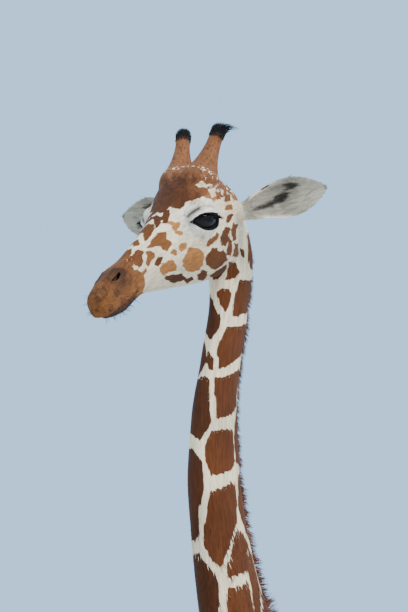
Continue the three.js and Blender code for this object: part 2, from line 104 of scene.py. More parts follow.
TRUNK = [
    (-.805, 2.06, .03, .05, .05, 2, 2),
    (-.78, 2.06, .1, .16, .16, 2, 2),
    (-.7, 2.06, .17, .27, .24, 2, 2),
    (-.56, 2.06, .228, .345, .27, 1.9, 2.1),
    (-.36, 2.07, .258, .395, .32, 1.85, 2.2),
    (-.12, 2.09, .286, .45, .4, 1.8, 2.2),
    (.12, 2.1, .296, .535, .455, 1.7, 2.2),
    (.33, 2.11, .28, .62, .48, 1.6, 2.1),
    (.48, 2.12, .25, .66, .47, 1.5, 2),
    (.62, 2.14, .22, .6, .4, 1.5, 2),
    (.74, 2.18, .18, .43, .3, 1.6, 2),
    (.83, 2.22, .125, .25, .21, 1.8, 2),
    (.87, 2.24, .03, .06, .06, 2, 2),
]
NECK = [
    (0, -.4, 1.9, .13, .24, .23, 2, 2),
    (1, -.5, 2.2, .165, .33, .3, 1.8, 2),
    (2, -.66, 2.55, .137, .275, .265, 1.7, 2),
    (3, -.84, 2.85, .1, .19, .187, 1.8, 2),
    (4, -1, 3.1, .077, .132, .13, 1.9, 2),
    (5, -1.062, 3.28, .069, .11, .108, 2, 2),
    (6, -1.091, 3.44, .065, .098, .1, 2, 2),
    (7, -1.088, 3.58, .06, .083, .086, 2, 2),
    (8, -1.055, 3.74, .053, .07, .073, 2, 2),
    (9, -1.012, 3.9, .052, .07, .07, 2, 2),
    (10, -1, 4.03, .06, .082, .08, 2, 2),
    (11, -1.045, 4.14, .06, .078, .085, 2, 2),
]
FORELEG = [
    (-2.4, .1, -.42, .05, .08, .1, 2, 2),
    (-2.3, .125, -.44, .075, .13, .15, 2, 2),
    (-2.08, .155, -.5, .095, .17, .19, 2, 2),
    (-1.86, .172, -.52, .098, .14, .185, 2, 2),
    (-1.66, .174, -.508, .086, .104, .145, 2, 2),
    (-1.5, .168, -.5, .069, .08, .096, 2, 2),
    (-1.3, .16, -.505, .054, .062, .069, 2, 2),
    (-1.1, .155, -.51, .046, .053, .055, 2, 2),
    (-1, .153, -.515, .052, .059, .056, 2.2, 2.2),
    (-.93, .152, -.515, .061, .068, .058, 2.4, 2.4),
    (-.86, .152, -.512, .052, .058, .056, 2.2, 2.2),
    (-.77, .15, -.505, .04, .042, .047, 2, 2),
    (-.55, .15, -.5, .036, .036, .042, 2, 2),
    (-.32, .15, -.5, .038, .038, .047, 2, 2),
    (-.235, .15, -.505, .05, .048, .062, 2.1, 2.1),
    (-.165, .15, -.522, .048, .052, .052, 2, 2),
    (-.115, .15, -.54, .058, .066, .06, 2.2, 2.2),
    (-.06, .15, -.55, .064, .084, .066, 2.2, 2.2),
]
HINDLEG = [
    (-2.3, .09, .45, .05, .1, .12, 2, 2),
    (-2.18, .12, .45, .09, .19, .19, 2, 2),
    (-2, .15, .45, .118, .25, .24, 2, 2),
    (-1.8, .165, .43, .118, .235, .25, 2, 2),
    (-1.62, .165, .418, .098, .175, .208, 2, 2),
    (-1.42, .155, .468, .071, .115, .132, 2, 2),
    (-1.22, .148, .535, .053, .073, .079, 2, 2),
    (-1.08, .143, .585, .046, .056, .072, 2, 2),
    (-1, .14, .605, .052, .063, .088, 2.2, 2.2),
    (-.94, .14, .608, .056, .066, .07, 2.3, 2.2),
    (-.85, .14, .6, .046, .052, .054, 2.1, 2.1),
    (-.72, .14, .59, .039, .04, .045, 2, 2),
    (-.5, .14, .575, .036, .036, .042, 2, 2),
    (-.3, .14, .562, .038, .038, .046, 2, 2),
    (-.225, .14, .552, .05, .048, .06, 2.1, 2.1),
    (-.16, .14, .534, .047, .051, .052, 2, 2),
    (-.115, .14, .516, .056, .064, .058, 2.2, 2.2),
    (-.06, .14, .504, .061, .08, .063, 2.2, 2.2),
]
TAIL = [
    (0, .69, 2.24, .03, .034, .034, 2, 2),
    (1, .79, 2.225, .027, .03, .028, 2, 2),
    (2, .836, 2.11, .022, .023, .023, 2, 2),
    (3, .85, 1.9, .018, .018, .018, 2, 2),
    (4, .856, 1.6, .014, .014, .014, 2, 2),
    (5, .858, 1.4, .013, .013, .013, 2, 2),
    (6, .859, 1.33, .027, .028, .028, 2, 2),
    (7, .86, 1.2, .036, .038, .038, 2, 2),
    (8, .86, 1.05, .031, .033, .033, 2, 2),
    (9, .86, .92, .015, .016, .016, 2, 2),
    (10, .86, .87, .004, .004, .004, 2, 2),
]
HORN = [
    (-.35, .052),
    (0, .06),
    (.25, .04),
    (.5, .027),
    (.75, .0215),
    (.9, .021),
    (.97, .015),
    (1, .005),
]
EAR = [
    (-.12, .024, 150),
    (0, .024, 150),
    (.08, .026, 130),
    (.2, .033, 95),
    (.35, .044, 70),
    (.5, .053, 55),
    (.62, .055, 48),
    (.75, .047, 42),
    (.88, .03, 36),
    (.96, .014, 32),
    (1, .004, 30),
]
MANE = [
    (2.25, .01, .008),
    (2.7, .066, .015),
    (4, .082, .017),
    (6, .064, .016),
    (8, .05, .014),
    (10, .044, .013),
    (10.7, .034, .011),
    (10.95, .01, .007),
]
CLAW = [
    (0, -.118, .084, .004, .074),
    (.012, -.117, .086, .0035, .076),
    (.045, -.104, .08, .0035, .071),
    (.08, -.086, .072, .0035, .065),
    (.115, -.07, .064, .0035, .06),
]

# ---------------------------------------------------------------- sums
def unit(v):
    """Vectors scaled to length one."""
    return v / (np.linalg.norm(v, axis=-1, keepdims=True) + 1e-12)


def step(edge0, edge1, x):
    """A smooth rise from 0 at edge0 to 1 at edge1."""
    t = np.clip((x - edge0) / (edge1 - edge0), 0, 1)
    return t * t * (3 - 2 * t)


def bell(x, middle, width):
    """A gaussian bump of height one."""
    return np.exp(-0.5 * ((x - middle) / width) ** 2)


def along(table, t):
    """The table's rows at t: a monotone cubic through its stations, with weighted harmonic slopes."""
    rows = np.asarray(table, float)
    knots, values = rows[:, 0], rows[:, 1:]
    gap = np.diff(knots)[:, None]
    rise = np.diff(values, axis=0) / gap
    slope = np.vstack([rise[:1], np.zeros_like(rise[:-1]), rise[-1:]])
    before, after, short, long = rise[:-1], rise[1:], gap[:-1], gap[1:]
    same = before * after > 0
    safe_before, safe_after = np.where(same, before, 1), np.where(same, after, 1)
    mean = 3 * (short + long) / ((2 * long + short) / safe_before + (long + 2 * short) / safe_after)
    slope[1:-1] = np.where(same, mean, 0)
    t = np.clip(np.asarray(t, float), knots[0], knots[-1])
    i = np.clip(np.searchsorted(knots, t, side="right") - 1, 0, len(knots) - 2)
    u = (t - knots[i])[:, None] / gap[i]
    blend = u * u * (3 - 2 * u)
    bend = u * (1 - u) ** 2 * gap[i] * slope[i] + u * u * (u - 1) * gap[i] * slope[i + 1]
    return values[i] * (1 - blend) + values[i + 1] * blend + bend


def oval(count, section):
    """Superellipse offsets (across, rise) of shape (rows, count): half*|cos|^(2/n), size*|sin|^(2/n)."""
    half, above, below, square_above, square_below = (section[:, [k]] for k in range(5))
    angle = np.linspace(0, 2 * np.pi, count, endpoint=False)[None]
    c, s = np.cos(angle), np.sin(angle)
    power = 2 / np.where(s >= 0, square_above, square_below)
    size = np.where(s >= 0, above, below)
    return half * np.sign(c) * np.abs(c) ** power, size * np.sign(s) * np.abs(s) ** power


def noise_field(points, scale, seed):
    """Smooth noise in about -1..1: a sum of sine waves along random directions, 'scale' metres long."""
    rng = np.random.default_rng(seed)
    waves = unit(rng.normal(size=(9, 3))) * (2 * np.pi / scale) * rng.uniform(0.6, 1.6, (9, 1))
    return np.sin(points @ waves.T + rng.uniform(0, 6.28, 9)).sum(axis=1) / 4


def grid_faces(rows, count, start=0):
    """Quads of a grid whose columns close on themselves. A face of three corners would end in -1."""
    row, here = np.meshgrid(np.arange(rows - 1) * count + start, np.arange(count), indexing="ij")
    after, above = (here + 1) % count, row + count
    return np.stack([row + here, row + after, above + after, above + here], -1).reshape(-1, 4)


def fan_faces(ring, middle):
    """Triangles from a ring of indices to one point."""
    return np.stack([ring, np.roll(ring, -1), np.full_like(ring, middle), np.full_like(ring, -1)], -1)


def closed_loft(rings):
    """Rings of shape (rows, count, 3), joined by quads and closed at both ends by a fan."""
    rows, count = rings.shape[:2]
    points = rings.reshape(-1, 3)
    ends = np.stack([rings[0].mean(0), rings[-1].mean(0)])
    first = fan_faces(np.arange(count)[::-1], len(points))
    last = fan_faces(np.arange(count) + (rows - 1) * count, len(points) + 1)
    return np.vstack([points, ends]), np.vstack([grid_faces(rows, count), first, last])


def joined(meshes):
    """Several meshes as one."""
    starts = np.cumsum([0] + [len(points) for points, _ in meshes])
    faces = [f + np.where(f >= 0, start, 0) for (_, f), start in zip(meshes, starts)]
    return np.concatenate([points for points, _ in meshes]), np.concatenate(faces)


# ---------------------------------------------------------------- the head's frame
def head_axes():
    """Columns forward, left and up of the head."""
    yaw, pitch = np.radians([HEAD_YAW, HEAD_PITCH])
    forward = np.array([np.sin(yaw) * np.cos(pitch), -np.cos(yaw) * np.cos(pitch), -np.sin(pitch)])
    up = np.array([np.sin(yaw) * np.sin(pitch), -np.cos(yaw) * np.sin(pitch), np.cos(pitch)])
    return np.stack([forward, np.cross(up, forward), up], 1)


HEAD_AXES = head_axes()


def from_head(points, side=1):
    """Points of the head's frame, mirrored for the right side, in the body frame."""
    return HEAD_AT + (np.asarray(points) * [1, side, 1]) @ HEAD_AXES.T


def to_head(points):
    return (points - HEAD_AT) @ HEAD_AXES


def folded(points):
    """Points of the head's frame with the right side laid on the left."""
    return np.stack([points[:, 0], np.abs(points[:, 1]), points[:, 2]], 1)


def eye_axes(side):
    """Columns nose-ward, outward and up of an eye, in the head's frame."""
    turn = np.radians(EYE_TURN)
    nose = np.array([np.cos(turn), -side * np.sin(turn), 0])
    return np.stack([nose, np.array([np.sin(turn), side * np.cos(turn), 0]), np.array([0, 0, 1.0])], 1)


SHIFT = np.array(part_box("eye_left")).mean(0) - from_head(EYE_AT)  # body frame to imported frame

# ---------------------------------------------------------------- the skin's lofts
DEPTH_TRUNK, DEPTH_NECK, DEPTH_LEG, DEPTH_HEAD = 0.006, 0.005, 0.004, 0.0025  # how deep the coat is


def inset(section, depth):
    """A section made smaller all round by the coat's depth."""
    section = section.copy()
    section[:, :3] = np.maximum(section[:, :3] - depth, section[:, :3] * 0.6)
    return section


def straight_rings(middle, up, section, count):
    """Oval rings across X and up."""
    across, rise = oval(count, section)
    return middle[:, None] + across[..., None] * [1, 0, 0] + rise[..., None] * up[:, None]


def trunk_rings():
    forward = TRUNK[0][0] + (TRUNK[-1][0] - TRUNK[0][0]) * (1 - np.cos(np.linspace(0, np.pi, 120))) / 2
    row = along(TRUNK, forward)
    middle = np.stack([0 * forward, -forward, row[:, 0]], 1)
    return straight_rings(middle, np.tile([0, 0, 1.0], (120, 1)), inset(row[:, 1:], DEPTH_TRUNK), 96)


def path_rings(table, steps, count, depth, last=None):
    """Rings square to a path in the plane x = 0."""
    t = np.linspace(0, table[-1][0] if last is None else last, steps)
    row = along(table, t)
    middle = np.stack([0 * t, row[:, 0], row[:, 1]], 1)
    run = unit(np.gradient(middle, axis=0))
    return straight_rings(middle, np.cross(run, [1.0, 0, 0]), inset(row[:, 2:], depth), count)


def leg_rings(table, side):
    drop = np.linspace(table[0][0], table[-1][0], 150)
    row = along(table, drop)
    middle = np.stack([side * row[:, 0], row[:, 1], -drop], 1)
    return straight_rings(middle, np.tile([0, -1.0, 0], (150, 1)), inset(row[:, 2:], DEPTH_LEG), 40)


def skull_rings():
    t = np.linspace(0, 1, 150)
    x = HEAD[0][0] + (HEAD[-1][0] - HEAD[0][0]) * (t + 0.06 * np.sin(2 * np.pi * (t - 0.5)))
    top, bottom, half, widest, square_above, square_below = along(HEAD, x).T
    section = np.stack([half, top - widest, widest - bottom, square_above, square_below], 1)
    across, rise = oval(80, inset(section, DEPTH_HEAD))
    x = np.broadcast_to(x[:, None], across.shape)
    return from_head(np.stack([x, across, widest[:, None] + rise], -1))


def horn_point(share, side):
    return from_head(HORN_ROOT + np.asarray(share)[..., None] * (HORN_TIP - HORN_ROOT), side)


def round_horn(angle, side):
    """An ossicone's axis, and the ways square to it at each angle."""
    axis = unit(horn_point(1.0, side) - horn_point(0.0, side))
    across = unit(np.cross(axis, [1.0, 0, 0]))
    return axis, np.cos(angle)[:, None] * across + np.sin(angle)[:, None] * np.cross(axis, across)


def horn_rings(side):
    share = np.linspace(HORN[0][0], 1, 60)
    radius = along(HORN, share)[:, 0] - 0.002
    _, out = round_horn(np.linspace(0, 2 * np.pi, 36, endpoint=False), side)
    return horn_point(share, side)[:, None] + radius[:, None, None] * out


def ball_rings(middle, radii, axes, rows=24, count=36):
    """An ellipsoid in the head's frame as rings from pole to pole."""
    tilt = np.linspace(0.03, np.pi - 0.03, rows)[:, None]
    turn = np.linspace(0, 2 * np.pi, count, endpoint=False)
    ball = np.stack([np.sin(tilt) * np.cos(turn), np.sin(tilt) * np.sin(turn), np.cos(tilt) + 0 * turn], -1)
    return middle + (ball * radii) @ axes.T


def ear_frame(side):
    """Root, run, across and out of an ear, in the body frame."""
    run, out = (np.array(v) for v in EAR_AIM[side])
    run = unit(run)
    out = unit(out - run * (out @ run))
    return from_head(EAR_ROOT, side), np.stack([run, np.cross(run, out), out], 1)


EAR_STUB = 0.12  # share of the ear's length that is made with the head


def ear_stub(side):
    root, turn = ear_frame(side)
    share = np.linspace(-0.12, EAR_STUB + 0.05, 16)
    radius = along(EAR, share)[:, 0] - 0.001
    angle = np.linspace(0, 2 * np.pi, 40, endpoint=False)
    ring = np.stack([0 * angle, np.sin(angle), -np.cos(angle)], 1)
    local = radius[:, None, None] * ring + (share * EAR_LENGTH)[:, None, None] * [1, 0, 0]
    return root + local @ turn.T


# ---------------------------------------------------------------- one skin from the lofts
VOXEL = 0.0186  # in the stretched space, where the head is four times life size
FOCUS = from_head([0.25, 0, -0.03])
FOCUS_REACH, FOCUS_ZOOM, FOCUS_FALL = 0.42, 4.0, 0.45


def stretched(points):
    """Radial map about the head: 4d up to 0.42 m, then 4*0.42*(d/0.42)^0.45, so the head gets more faces."""
    away = points - FOCUS
    d = np.linalg.norm(away, axis=-1, keepdims=True)
    far = FOCUS_ZOOM * FOCUS_REACH * (np.maximum(d, FOCUS_REACH) / FOCUS_REACH) ** FOCUS_FALL
    return FOCUS + away * np.where(d < FOCUS_REACH, FOCUS_ZOOM, far / np.maximum(d, 1e-9))


def unstretched(points):
    """The inverse of stretched."""
    away = points - FOCUS
    d = np.linalg.norm(away, axis=-1, keepdims=True)
    edge = FOCUS_ZOOM * FOCUS_REACH
    near = FOCUS_REACH * (np.maximum(d, edge) / edge) ** (1 / FOCUS_FALL)
    return FOCUS + away * np.where(d < edge, 1 / FOCUS_ZOOM, near / np.maximum(d, 1e-9))


def mesh_of(name, points, faces):
    """A mesh from points and faces of three (last -1) or four corners."""
    mesh = bpy.data.meshes.new(name)
    corners = np.where(faces[:, 3] < 0, 3, 4)
    loops = faces.ravel()[faces.ravel() >= 0]
    mesh.vertices.add(len(points))
    mesh.vertices.foreach_set("co", np.asarray(points, np.float32).ravel())
    mesh.loops.add(len(loops))
    mesh.loops.foreach_set("vertex_index", loops.astype(np.int32))
    mesh.polygons.add(len(faces))
    mesh.polygons.foreach_set("loop_start", np.concatenate([[0], np.cumsum(corners)[:-1]]).astype(np.int32))
    mesh.update(calc_edges=True)
    mesh.polygons.foreach_set("use_smooth", np.ones(len(faces), bool))
    return mesh


def union(lofts):
    """The outer shell of overlapping closed lofts: a voxel remesh in the stretched space."""
    points, faces = joined([closed_loft(rings) for rings in lofts])
    lump = bpy.data.objects.new("lump", mesh_of("lump", stretched(points), faces))
    bpy.context.scene.collection.objects.link(lump)
    remesh = lump.modifiers.new("shell", "REMESH")
    remesh.mode, remesh.voxel_size, remesh.adaptivity = "VOXEL", VOXEL, 0
    shell = bpy.data.meshes.new_from_object(lump.evaluated_get(bpy.context.evaluated_depsgraph_get()))
    co = np.zeros(len(shell.vertices) * 3, np.float32)
    shell.vertices.foreach_get("co", co)
    corners = np.zeros(len(shell.loops), np.int32)
    shell.loops.foreach_get("vertex_index", corners)
    bpy.data.objects.remove(lump)
    bpy.data.meshes.remove(shell)
    return unstretched(co.reshape(-1, 3).astype(float)), corners.reshape(-1, 4).astype(int)


def neighbour_mean(points, pairs, degree):
    """The mean of each point's neighbours along the edges."""
    count = len(points)
    both = [np.bincount(a, points[b, k], count) for k in range(3) for a, b in (pairs.T, pairs.T[::-1])]
    return np.stack([both[0] + both[1], both[2] + both[3], both[4] + both[5]], 1) / degree[:, None]


def edges_of(faces):
    """Each edge of the faces once."""
    a = faces
    b = np.roll(faces, -1, axis=1)
    three = faces[:, 3] < 0
    b[three, 2] = faces[three, 0]
    pairs = np.stack([a.ravel(), b.ravel()], 1)
    pairs = pairs[(pairs >= 0).all(1)]
    return np.unique(np.sort(pairs, axis=1), axis=0)


def smoothed(points, pairs, weight, rounds):
    """Laplacian smoothing, each point moved by its weight half way to its neighbours' mean."""
    degree = np.maximum(np.bincount(pairs.ravel(), minlength=len(points)), 1)
    for _ in range(rounds):
        points = points + weight[:, None] * 0.5 * (neighbour_mean(points, pairs, degree) - points)
    return points


def normals_of(points, faces):
    """Point normals: the sum of the normals of the faces round each point."""
    last = np.where(faces[:, 3] < 0, faces[:, 2], faces[:, 3])
    a, b, c, d = points[faces[:, 0]], points[faces[:, 1]], points[faces[:, 2]], points[last]
    flat = np.cross(c - a, d - b) + np.where((faces[:, 3] < 0)[:, None], np.cross(b - a, c - a), 0)
    corners = (*faces[:, :3].T, last)
    total = [sum(np.bincount(corner, flat[:, k], len(points)) for corner in corners) for k in range(3)]
    return unit(np.stack(total, 1))


# ---------------------------------------------------------------- sculpting
# Muscle and bone: place, spread and height; the head's are in its own frame. All are mirrored.
HEAD_BUMPS = [
    ((0.15, 0.085, -0.048), (0.06, 0.03, 0.011), 0.004),  # cheekbone below the eye
    ((0.085, 0.08, -0.1), (0.05, 0.04, 0.04), 0.005),  # jowl
    ((0.29, 0.055, -0.03), (0.045, 0.03, 0.025), -0.004),  # hollow before the eye
    ((0.275, 0.06, -0.085), (0.06, 0.02, 0.01), 0.003),  # facial crest
    ((0.085, 0.09, 0.04), (0.025, 0.03, 0.025), -0.006),  # temple
    ((0.25, 0.05, -0.132), (0.08, 0.03, 0.014), -0.003),  # above the jaw's edge
    ((0.59, 0.025, -0.15), (0.022, 0.018, 0.018), 0.0025),  # upper lip
    ((0.515, 0.033, -0.074), (0.022, 0.014, 0.01), 0.0035),  # wing of the nostril
    ((0.47, 0.038, -0.11), (0.03, 0.014, 0.016), -0.002),  # behind the nostril
]
BODY_BUMPS = [
    ((0.24, -0.4, 2.35), (0.06, 0.06, 0.22), 0.012),  # shoulder blade
    ((0.18, -0.68, 2.02), (0.07, 0.07, 0.09), 0.016),  # point of the shoulder
    ((0.24, -0.41, 1.98), (0.06, 0.1, 0.12), 0.014),  # triceps
    ((0.19, -0.33, 1.76), (0.05, 0.05, 0.06), 0.012),  # elbow
    ((0.28, -0.16, 2.1), (0.06, 0.06, 0.23), -0.01),  # behind the shoulder
    ((0.2, 0.33, 2.37), (0.06, 0.05, 0.06), 0.016),  # hip
    ((0.26, 0.25, 2.13), (0.06, 0.08, 0.12), -0.016),  # flank
    ((0.25, 0.47, 1.95), (0.06, 0.11, 0.17), 0.012),  # thigh
    ((0.18, 0.21, 1.79), (0.06, 0.06, 0.08), 0.01),  # stifle
    ((0.1, 0.73, 2.12), (0.06, 0.05, 0.07), 0.012),  # point of the buttock
    ((0.15, -0.58, 0.93), (0.034, 0.02, 0.045), 0.005),  # front of the knee
    ((0.15, -0.455, 1.01), (0.03, 0.02, 0.04), 0.004),  # back of the knee
    ((0.142, 0.69, 1.03), (0.022, 0.024, 0.04), 0.008),  # point of the hock
    ((0.19, -0.485, 0.55), (0.012, 0.014, 0.24), -0.004),  # between bone and tendon, outside
    ((0.11, -0.485, 0.55), (0.012, 0.014, 0.24), -0.004),  # and inside
    ((0.178, 0.595, 0.52), (0.012, 0.014, 0.24), -0.004),
    ((0.102, 0.595, 0.52), (0.012, 0.014, 0.24), -0.004),
]
# The line of the mouth from its corner, forward and up in the head.
MOUTH = [(0.43, -0.134), (0.461, -0.143), (0.497, -0.156), (0.527, -0.164), (0.574, -0.178), (0.6, -0.185)]


def swelling(points, bumps):
    """The sum of height * exp(-|(p - place) / spread|^2 / 2)."""
    total = np.zeros(len(points))
    for place, spread, height in bumps:
        total += height * np.exp(-0.5 * (((points - place) / spread) ** 2).sum(1))
    return total


def mouth_gap(h):
    """Height above the line of the mouth, for points of the head's frame; large away from it."""
    line = np.interp(h[:, 0], *np.array(MOUTH).T)
    off = np.maximum(MOUTH[0][0] - h[:, 0], 0) + np.maximum(h[:, 0] - MOUTH[-1][0], 0)
    return np.where(off > 0, np.hypot(off, h[:, 2] - line), h[:, 2] - line)


def sculpted(points, normals):
    """Points moved out along their normals by the head's and body's forms, ribs, spine and mouth."""
    h = to_head(points)
    left = np.stack([np.abs(points[:, 0]), points[:, 1], points[:, 2]], 1)
    rise = swelling(folded(h), HEAD_BUMPS) + swelling(left, BODY_BUMPS)
    x, y, z = left.T
    on_ribs = bell(y, 0.08, 0.17) * bell(z, 2.02, 0.17) * step(0.12, 0.24, x)
    rise += 0.0035 * on_ribs * np.sin((y + 0.25 * (z - 2)) * 2 * np.pi / 0.085)
    on_back = step(2.3, 2.45, z) * step(-0.5, -0.3, y) * step(0.72, 0.6, y)
    rise += on_back * (0.01 * bell(x, 0, 0.02) - 0.006 * bell(x, 0.07, 0.03))
    gap = mouth_gap(h)
    lips = step(0.425, 0.455, h[:, 0]) * step(-0.115, -0.135, h[:, 2])
    full = 0.0022 * bell(gap, 0.012, 0.006) + 0.0015 * bell(gap, -0.011, 0.005)
    rise += lips * (full - 0.005 * bell(gap, 0, 0.003))
    return points + normals * rise[:, None]


# ---------------------------------------------------------------- openings worked into the skin
def removed_loop(faces, inside, ahead):
    """Takes away the faces that touch inside points. Returns the faces kept and the rim's points in order,
    starting at the one that is furthest ahead."""
    gone = inside[faces].any(axis=1)
    a = faces[gone].ravel()
    b = np.roll(faces[gone], -1, axis=1).ravel()
    key = int(faces.max()) + 1
    single = ~np.isin(a * key + b, b * key + a)
    after = dict(zip(a[single].tolist(), b[single].tolist()))
    rim = np.array(list(after))
    start = int(rim[np.argmax(ahead[rim])])
    loop = list(itertools.accumulate(range(len(rim) - 1), lambda v, _: after[v], initial=start))
    if len(set(loop)) != len(rim) or after[loop[-1]] != start:
        raise RuntimeError("the rim of an opening crosses itself")
    return faces[~gone], np.array(loop)


def grafted(points, faces, loop, rows, middle, doubled):
    """Joins rows of new points to the rim and closes the last by a fan to the middle. Doubled rows hold
    two points for each point of the rim."""
    base = len(points)
    count = rows.shape[1]
    first = base + np.arange(count)
    if doubled:
        a, b = loop, np.roll(loop, -1)
        r0, r1, r2 = first[::2], first[1::2], np.roll(first[::2], -1)
        none = np.full(len(a), -1)
        skirt = np.vstack([np.stack(t, 1) for t in ((a, b, r1, none), (a, r1, r0, none), (b, r2, r1, none))])
    else:
        skirt = np.stack([loop, np.roll(loop, -1), np.roll(first, -1), first], 1)
    last = base + (len(rows) - 1) * count + np.arange(count)
    end = base + rows.shape[0] * count
    new_faces = [skirt, grid_faces(len(rows), count, base), fan_faces(last, end)]
    return np.vstack([points, rows.reshape(-1, 3), middle[None]]), np.vstack([faces, *new_faces])


def share_round(ring):
    """Share of a closed line's length at each of its points."""
    piece = np.linalg.norm(np.roll(ring, -1, axis=0) - ring, axis=1)
    return np.concatenate([[0], np.cumsum(piece)[:-1]]) / piece.sum()


def winding(ring):
    """Twice the area inside a flat ring, above 0 where it runs anticlockwise."""
    after = np.roll(ring, -1, axis=0)
    return np.sum(ring[:, 0] * after[:, 1] - ring[:, 1] * after[:, 0])


def old_height(plane, old, heights, spread):
    """The skin's height before it was opened: a gaussian mean of the points taken away."""
    far = ((plane[:, :, None] - old[None, None]) ** 2).sum(-1)
    weight = np.exp(-far / (2 * spread**2)) + 1e-12
    return (weight * heights).sum(-1) / weight.sum(-1)


def closed_curve(corners, shares):
    """A smooth closed curve through corners, by a periodic cubic, at shares of its length."""
    corners = np.asarray(corners, float)
    dense = np.linspace(0, len(corners), 600, endpoint=False)
    i = dense.astype(int)
    u = (dense - i)[:, None]
    p0, p1, p2, p3 = (corners[(i + k) % len(corners)] for k in (-1, 0, 1, 2))
    square, cube = 2 * p0 - 5 * p1 + 4 * p2 - p3, 3 * p1 - p0 - 3 * p2 + p3
    line = 0.5 * (2 * p1 + (p2 - p0) * u + square * u**2 + cube * u**3)
    at = np.append(share_round(line), 1)
    line = np.vstack([line, line[:1]])
    return np.stack([np.interp(shares % 1, at, line[:, k]) for k in range(2)], 1)


# The opening between the lids, nose-ward and up from the eye's middle, from its front corner over the top.
LID_LINE = np.array([
    (0.05, 0.0035), (0.041, 0.012), (0.028, 0.018), (0.013, 0.0193), (-0.005, 0.0168), (-0.025, 0.0115),
    (-0.038, 0.003), (-0.045, -0.007), (-0.039, -0.017), (-0.026, -0.0235), (-0.008, -0.0265),
    (0.01, -0.025), (0.024, -0.02), (0.035, -0.011), (0.043, -0.003),
])  # fmt: skip
LID_RADII = np.array([0.054, 0.037, 0.046])  # the lids' ellipsoid: nose-ward, outward, up
LID_CREASE = (0.0356, 0.002, 6.2)  # top, its place nose-ward, and how fast the crease falls away


def eye_plane(points, side):
    """Nose-ward, outward and up from the middle of an eye."""
    return (to_head(points) - EYE_AT * [1, side, 1]) @ eye_axes(side)


def from_eye_plane(local, side):
    return from_head(0 * local) + (EYE_AT * [1, side, 1] + local @ eye_axes(side).T) @ HEAD_AXES.T


def dome(q, radii):
    """Height of an ellipsoid over its own plane."""
    left = 1 - (q[..., 0] / radii[0]) ** 2 - (q[..., 1] / radii[2]) ** 2
    return radii[1] * np.sqrt(np.clip(left, 0.01, 1))


def with_lids(points, faces, side):
    """Opens the skin over an eye, works lids, creases and a rim, and closes it behind the ball's front."""
    local = eye_plane(points, side)
    q = local[:, [0, 2]]
    inside = ((q[:, 0] - 0.002) / 0.064) ** 2 + ((q[:, 1] - 0.003) / 0.05) ** 2 < 1
    inside &= (local[:, 1] > 0) & (local[:, 1] < 0.08)
    kept, loop = removed_loop(faces, inside, q[:, 0] - 10 * np.abs(q[:, 1]))
    rim, old = q[loop], q[inside]
    line = LID_LINE if winding(rim) > 0 else np.vstack([LID_LINE[:1], LID_LINE[:0:-1]])
    opening = closed_curve(line, share_round(rim))
    t = (np.linspace(1, 0, 19)[1:] ** 1.15)[:, None]
    plane = opening + (rim - opening) * t[..., None]
    base = old_height(plane, old, local[inside, 1], 0.0035)
    lid = dome(plane, LID_RADII)
    height = base + (lid - base) * step(0.95, 0.1, t)
    a, b = plane[..., 0], plane[..., 1]
    top, place, fall = LID_CREASE
    over = b - (top - fall * (a - place) ** 2)
    upper = step(0.0, 0.012, b) * step(0.056, 0.036, np.abs(a)) * step(1, 0.9, t)
    height += upper * (0.0022 * bell(over, 0.008, 0.005) + 0.0022 * bell(over, -0.009, 0.006))
    height -= upper * 0.0042 * bell(over, 0, 0.0019)
    under = b + 0.036 - 6.0 * a**2
    lower = step(-0.006, -0.016, b) * step(0.05, 0.034, np.abs(a))
    height += lower * (0.0016 * bell(under, 0.007, 0.003) - 0.002 * bell(under, 0, 0.0018))
    sunk = 0.84 * opening
    reach = np.sqrt((sunk[:, 0] / EYE_RADII[0]) ** 2 + (sunk[:, 1] / EYE_RADII[2]) ** 2)
    sunk = sunk * np.minimum(1, 0.93 / reach)[:, None]
    edge = dome(opening, LID_RADII)
    ball = dome(sunk, EYE_RADII)
    roll = [(opening * 0.985, edge - 0.0006), (opening * 0.95, edge - 0.0022)]
    roll += [(opening + (sunk - opening) * 0.6, edge + (ball - edge) * 0.62), (sunk, ball + 0.0004)]
    roll += [(sunk * 0.92, dome(sunk * 0.92, EYE_RADII) - 0.003), (sunk * 0.5, 0 * ball + 0.004)]
    plane = np.concatenate([plane, [r[0] for r in roll]])
    height = np.concatenate([height, [r[1] for r in roll]])
    rows = from_eye_plane(np.stack([plane[..., 0], height, plane[..., 1]], -1), side)
    middle = from_eye_plane(np.array([0, 0.004, 0]), side)
    return grafted(points, kept, loop, rows, middle, False)


NOSTRIL_AT, NOSTRIL_ALONG = np.array([0.534, 0.024, -0.093]), np.array([-0.81, 0.26, 0.52])
NOSTRIL_SIZE = (0.0195, 0.0056)  # half length and half width of the slit


def nostril_axes(points, normals, side):
    """Middle on the skin, and the slit's axes along, across and out, in the body frame."""
    near = np.argmin(np.linalg.norm(points - from_head(NOSTRIL_AT, side), axis=1))
    out = normals[near]
    run = (NOSTRIL_ALONG * [1, side, 1]) @ HEAD_AXES.T
    run = unit(run - out * (run @ out))
    return points[near], np.stack([run, np.cross(out, run), out], 1)


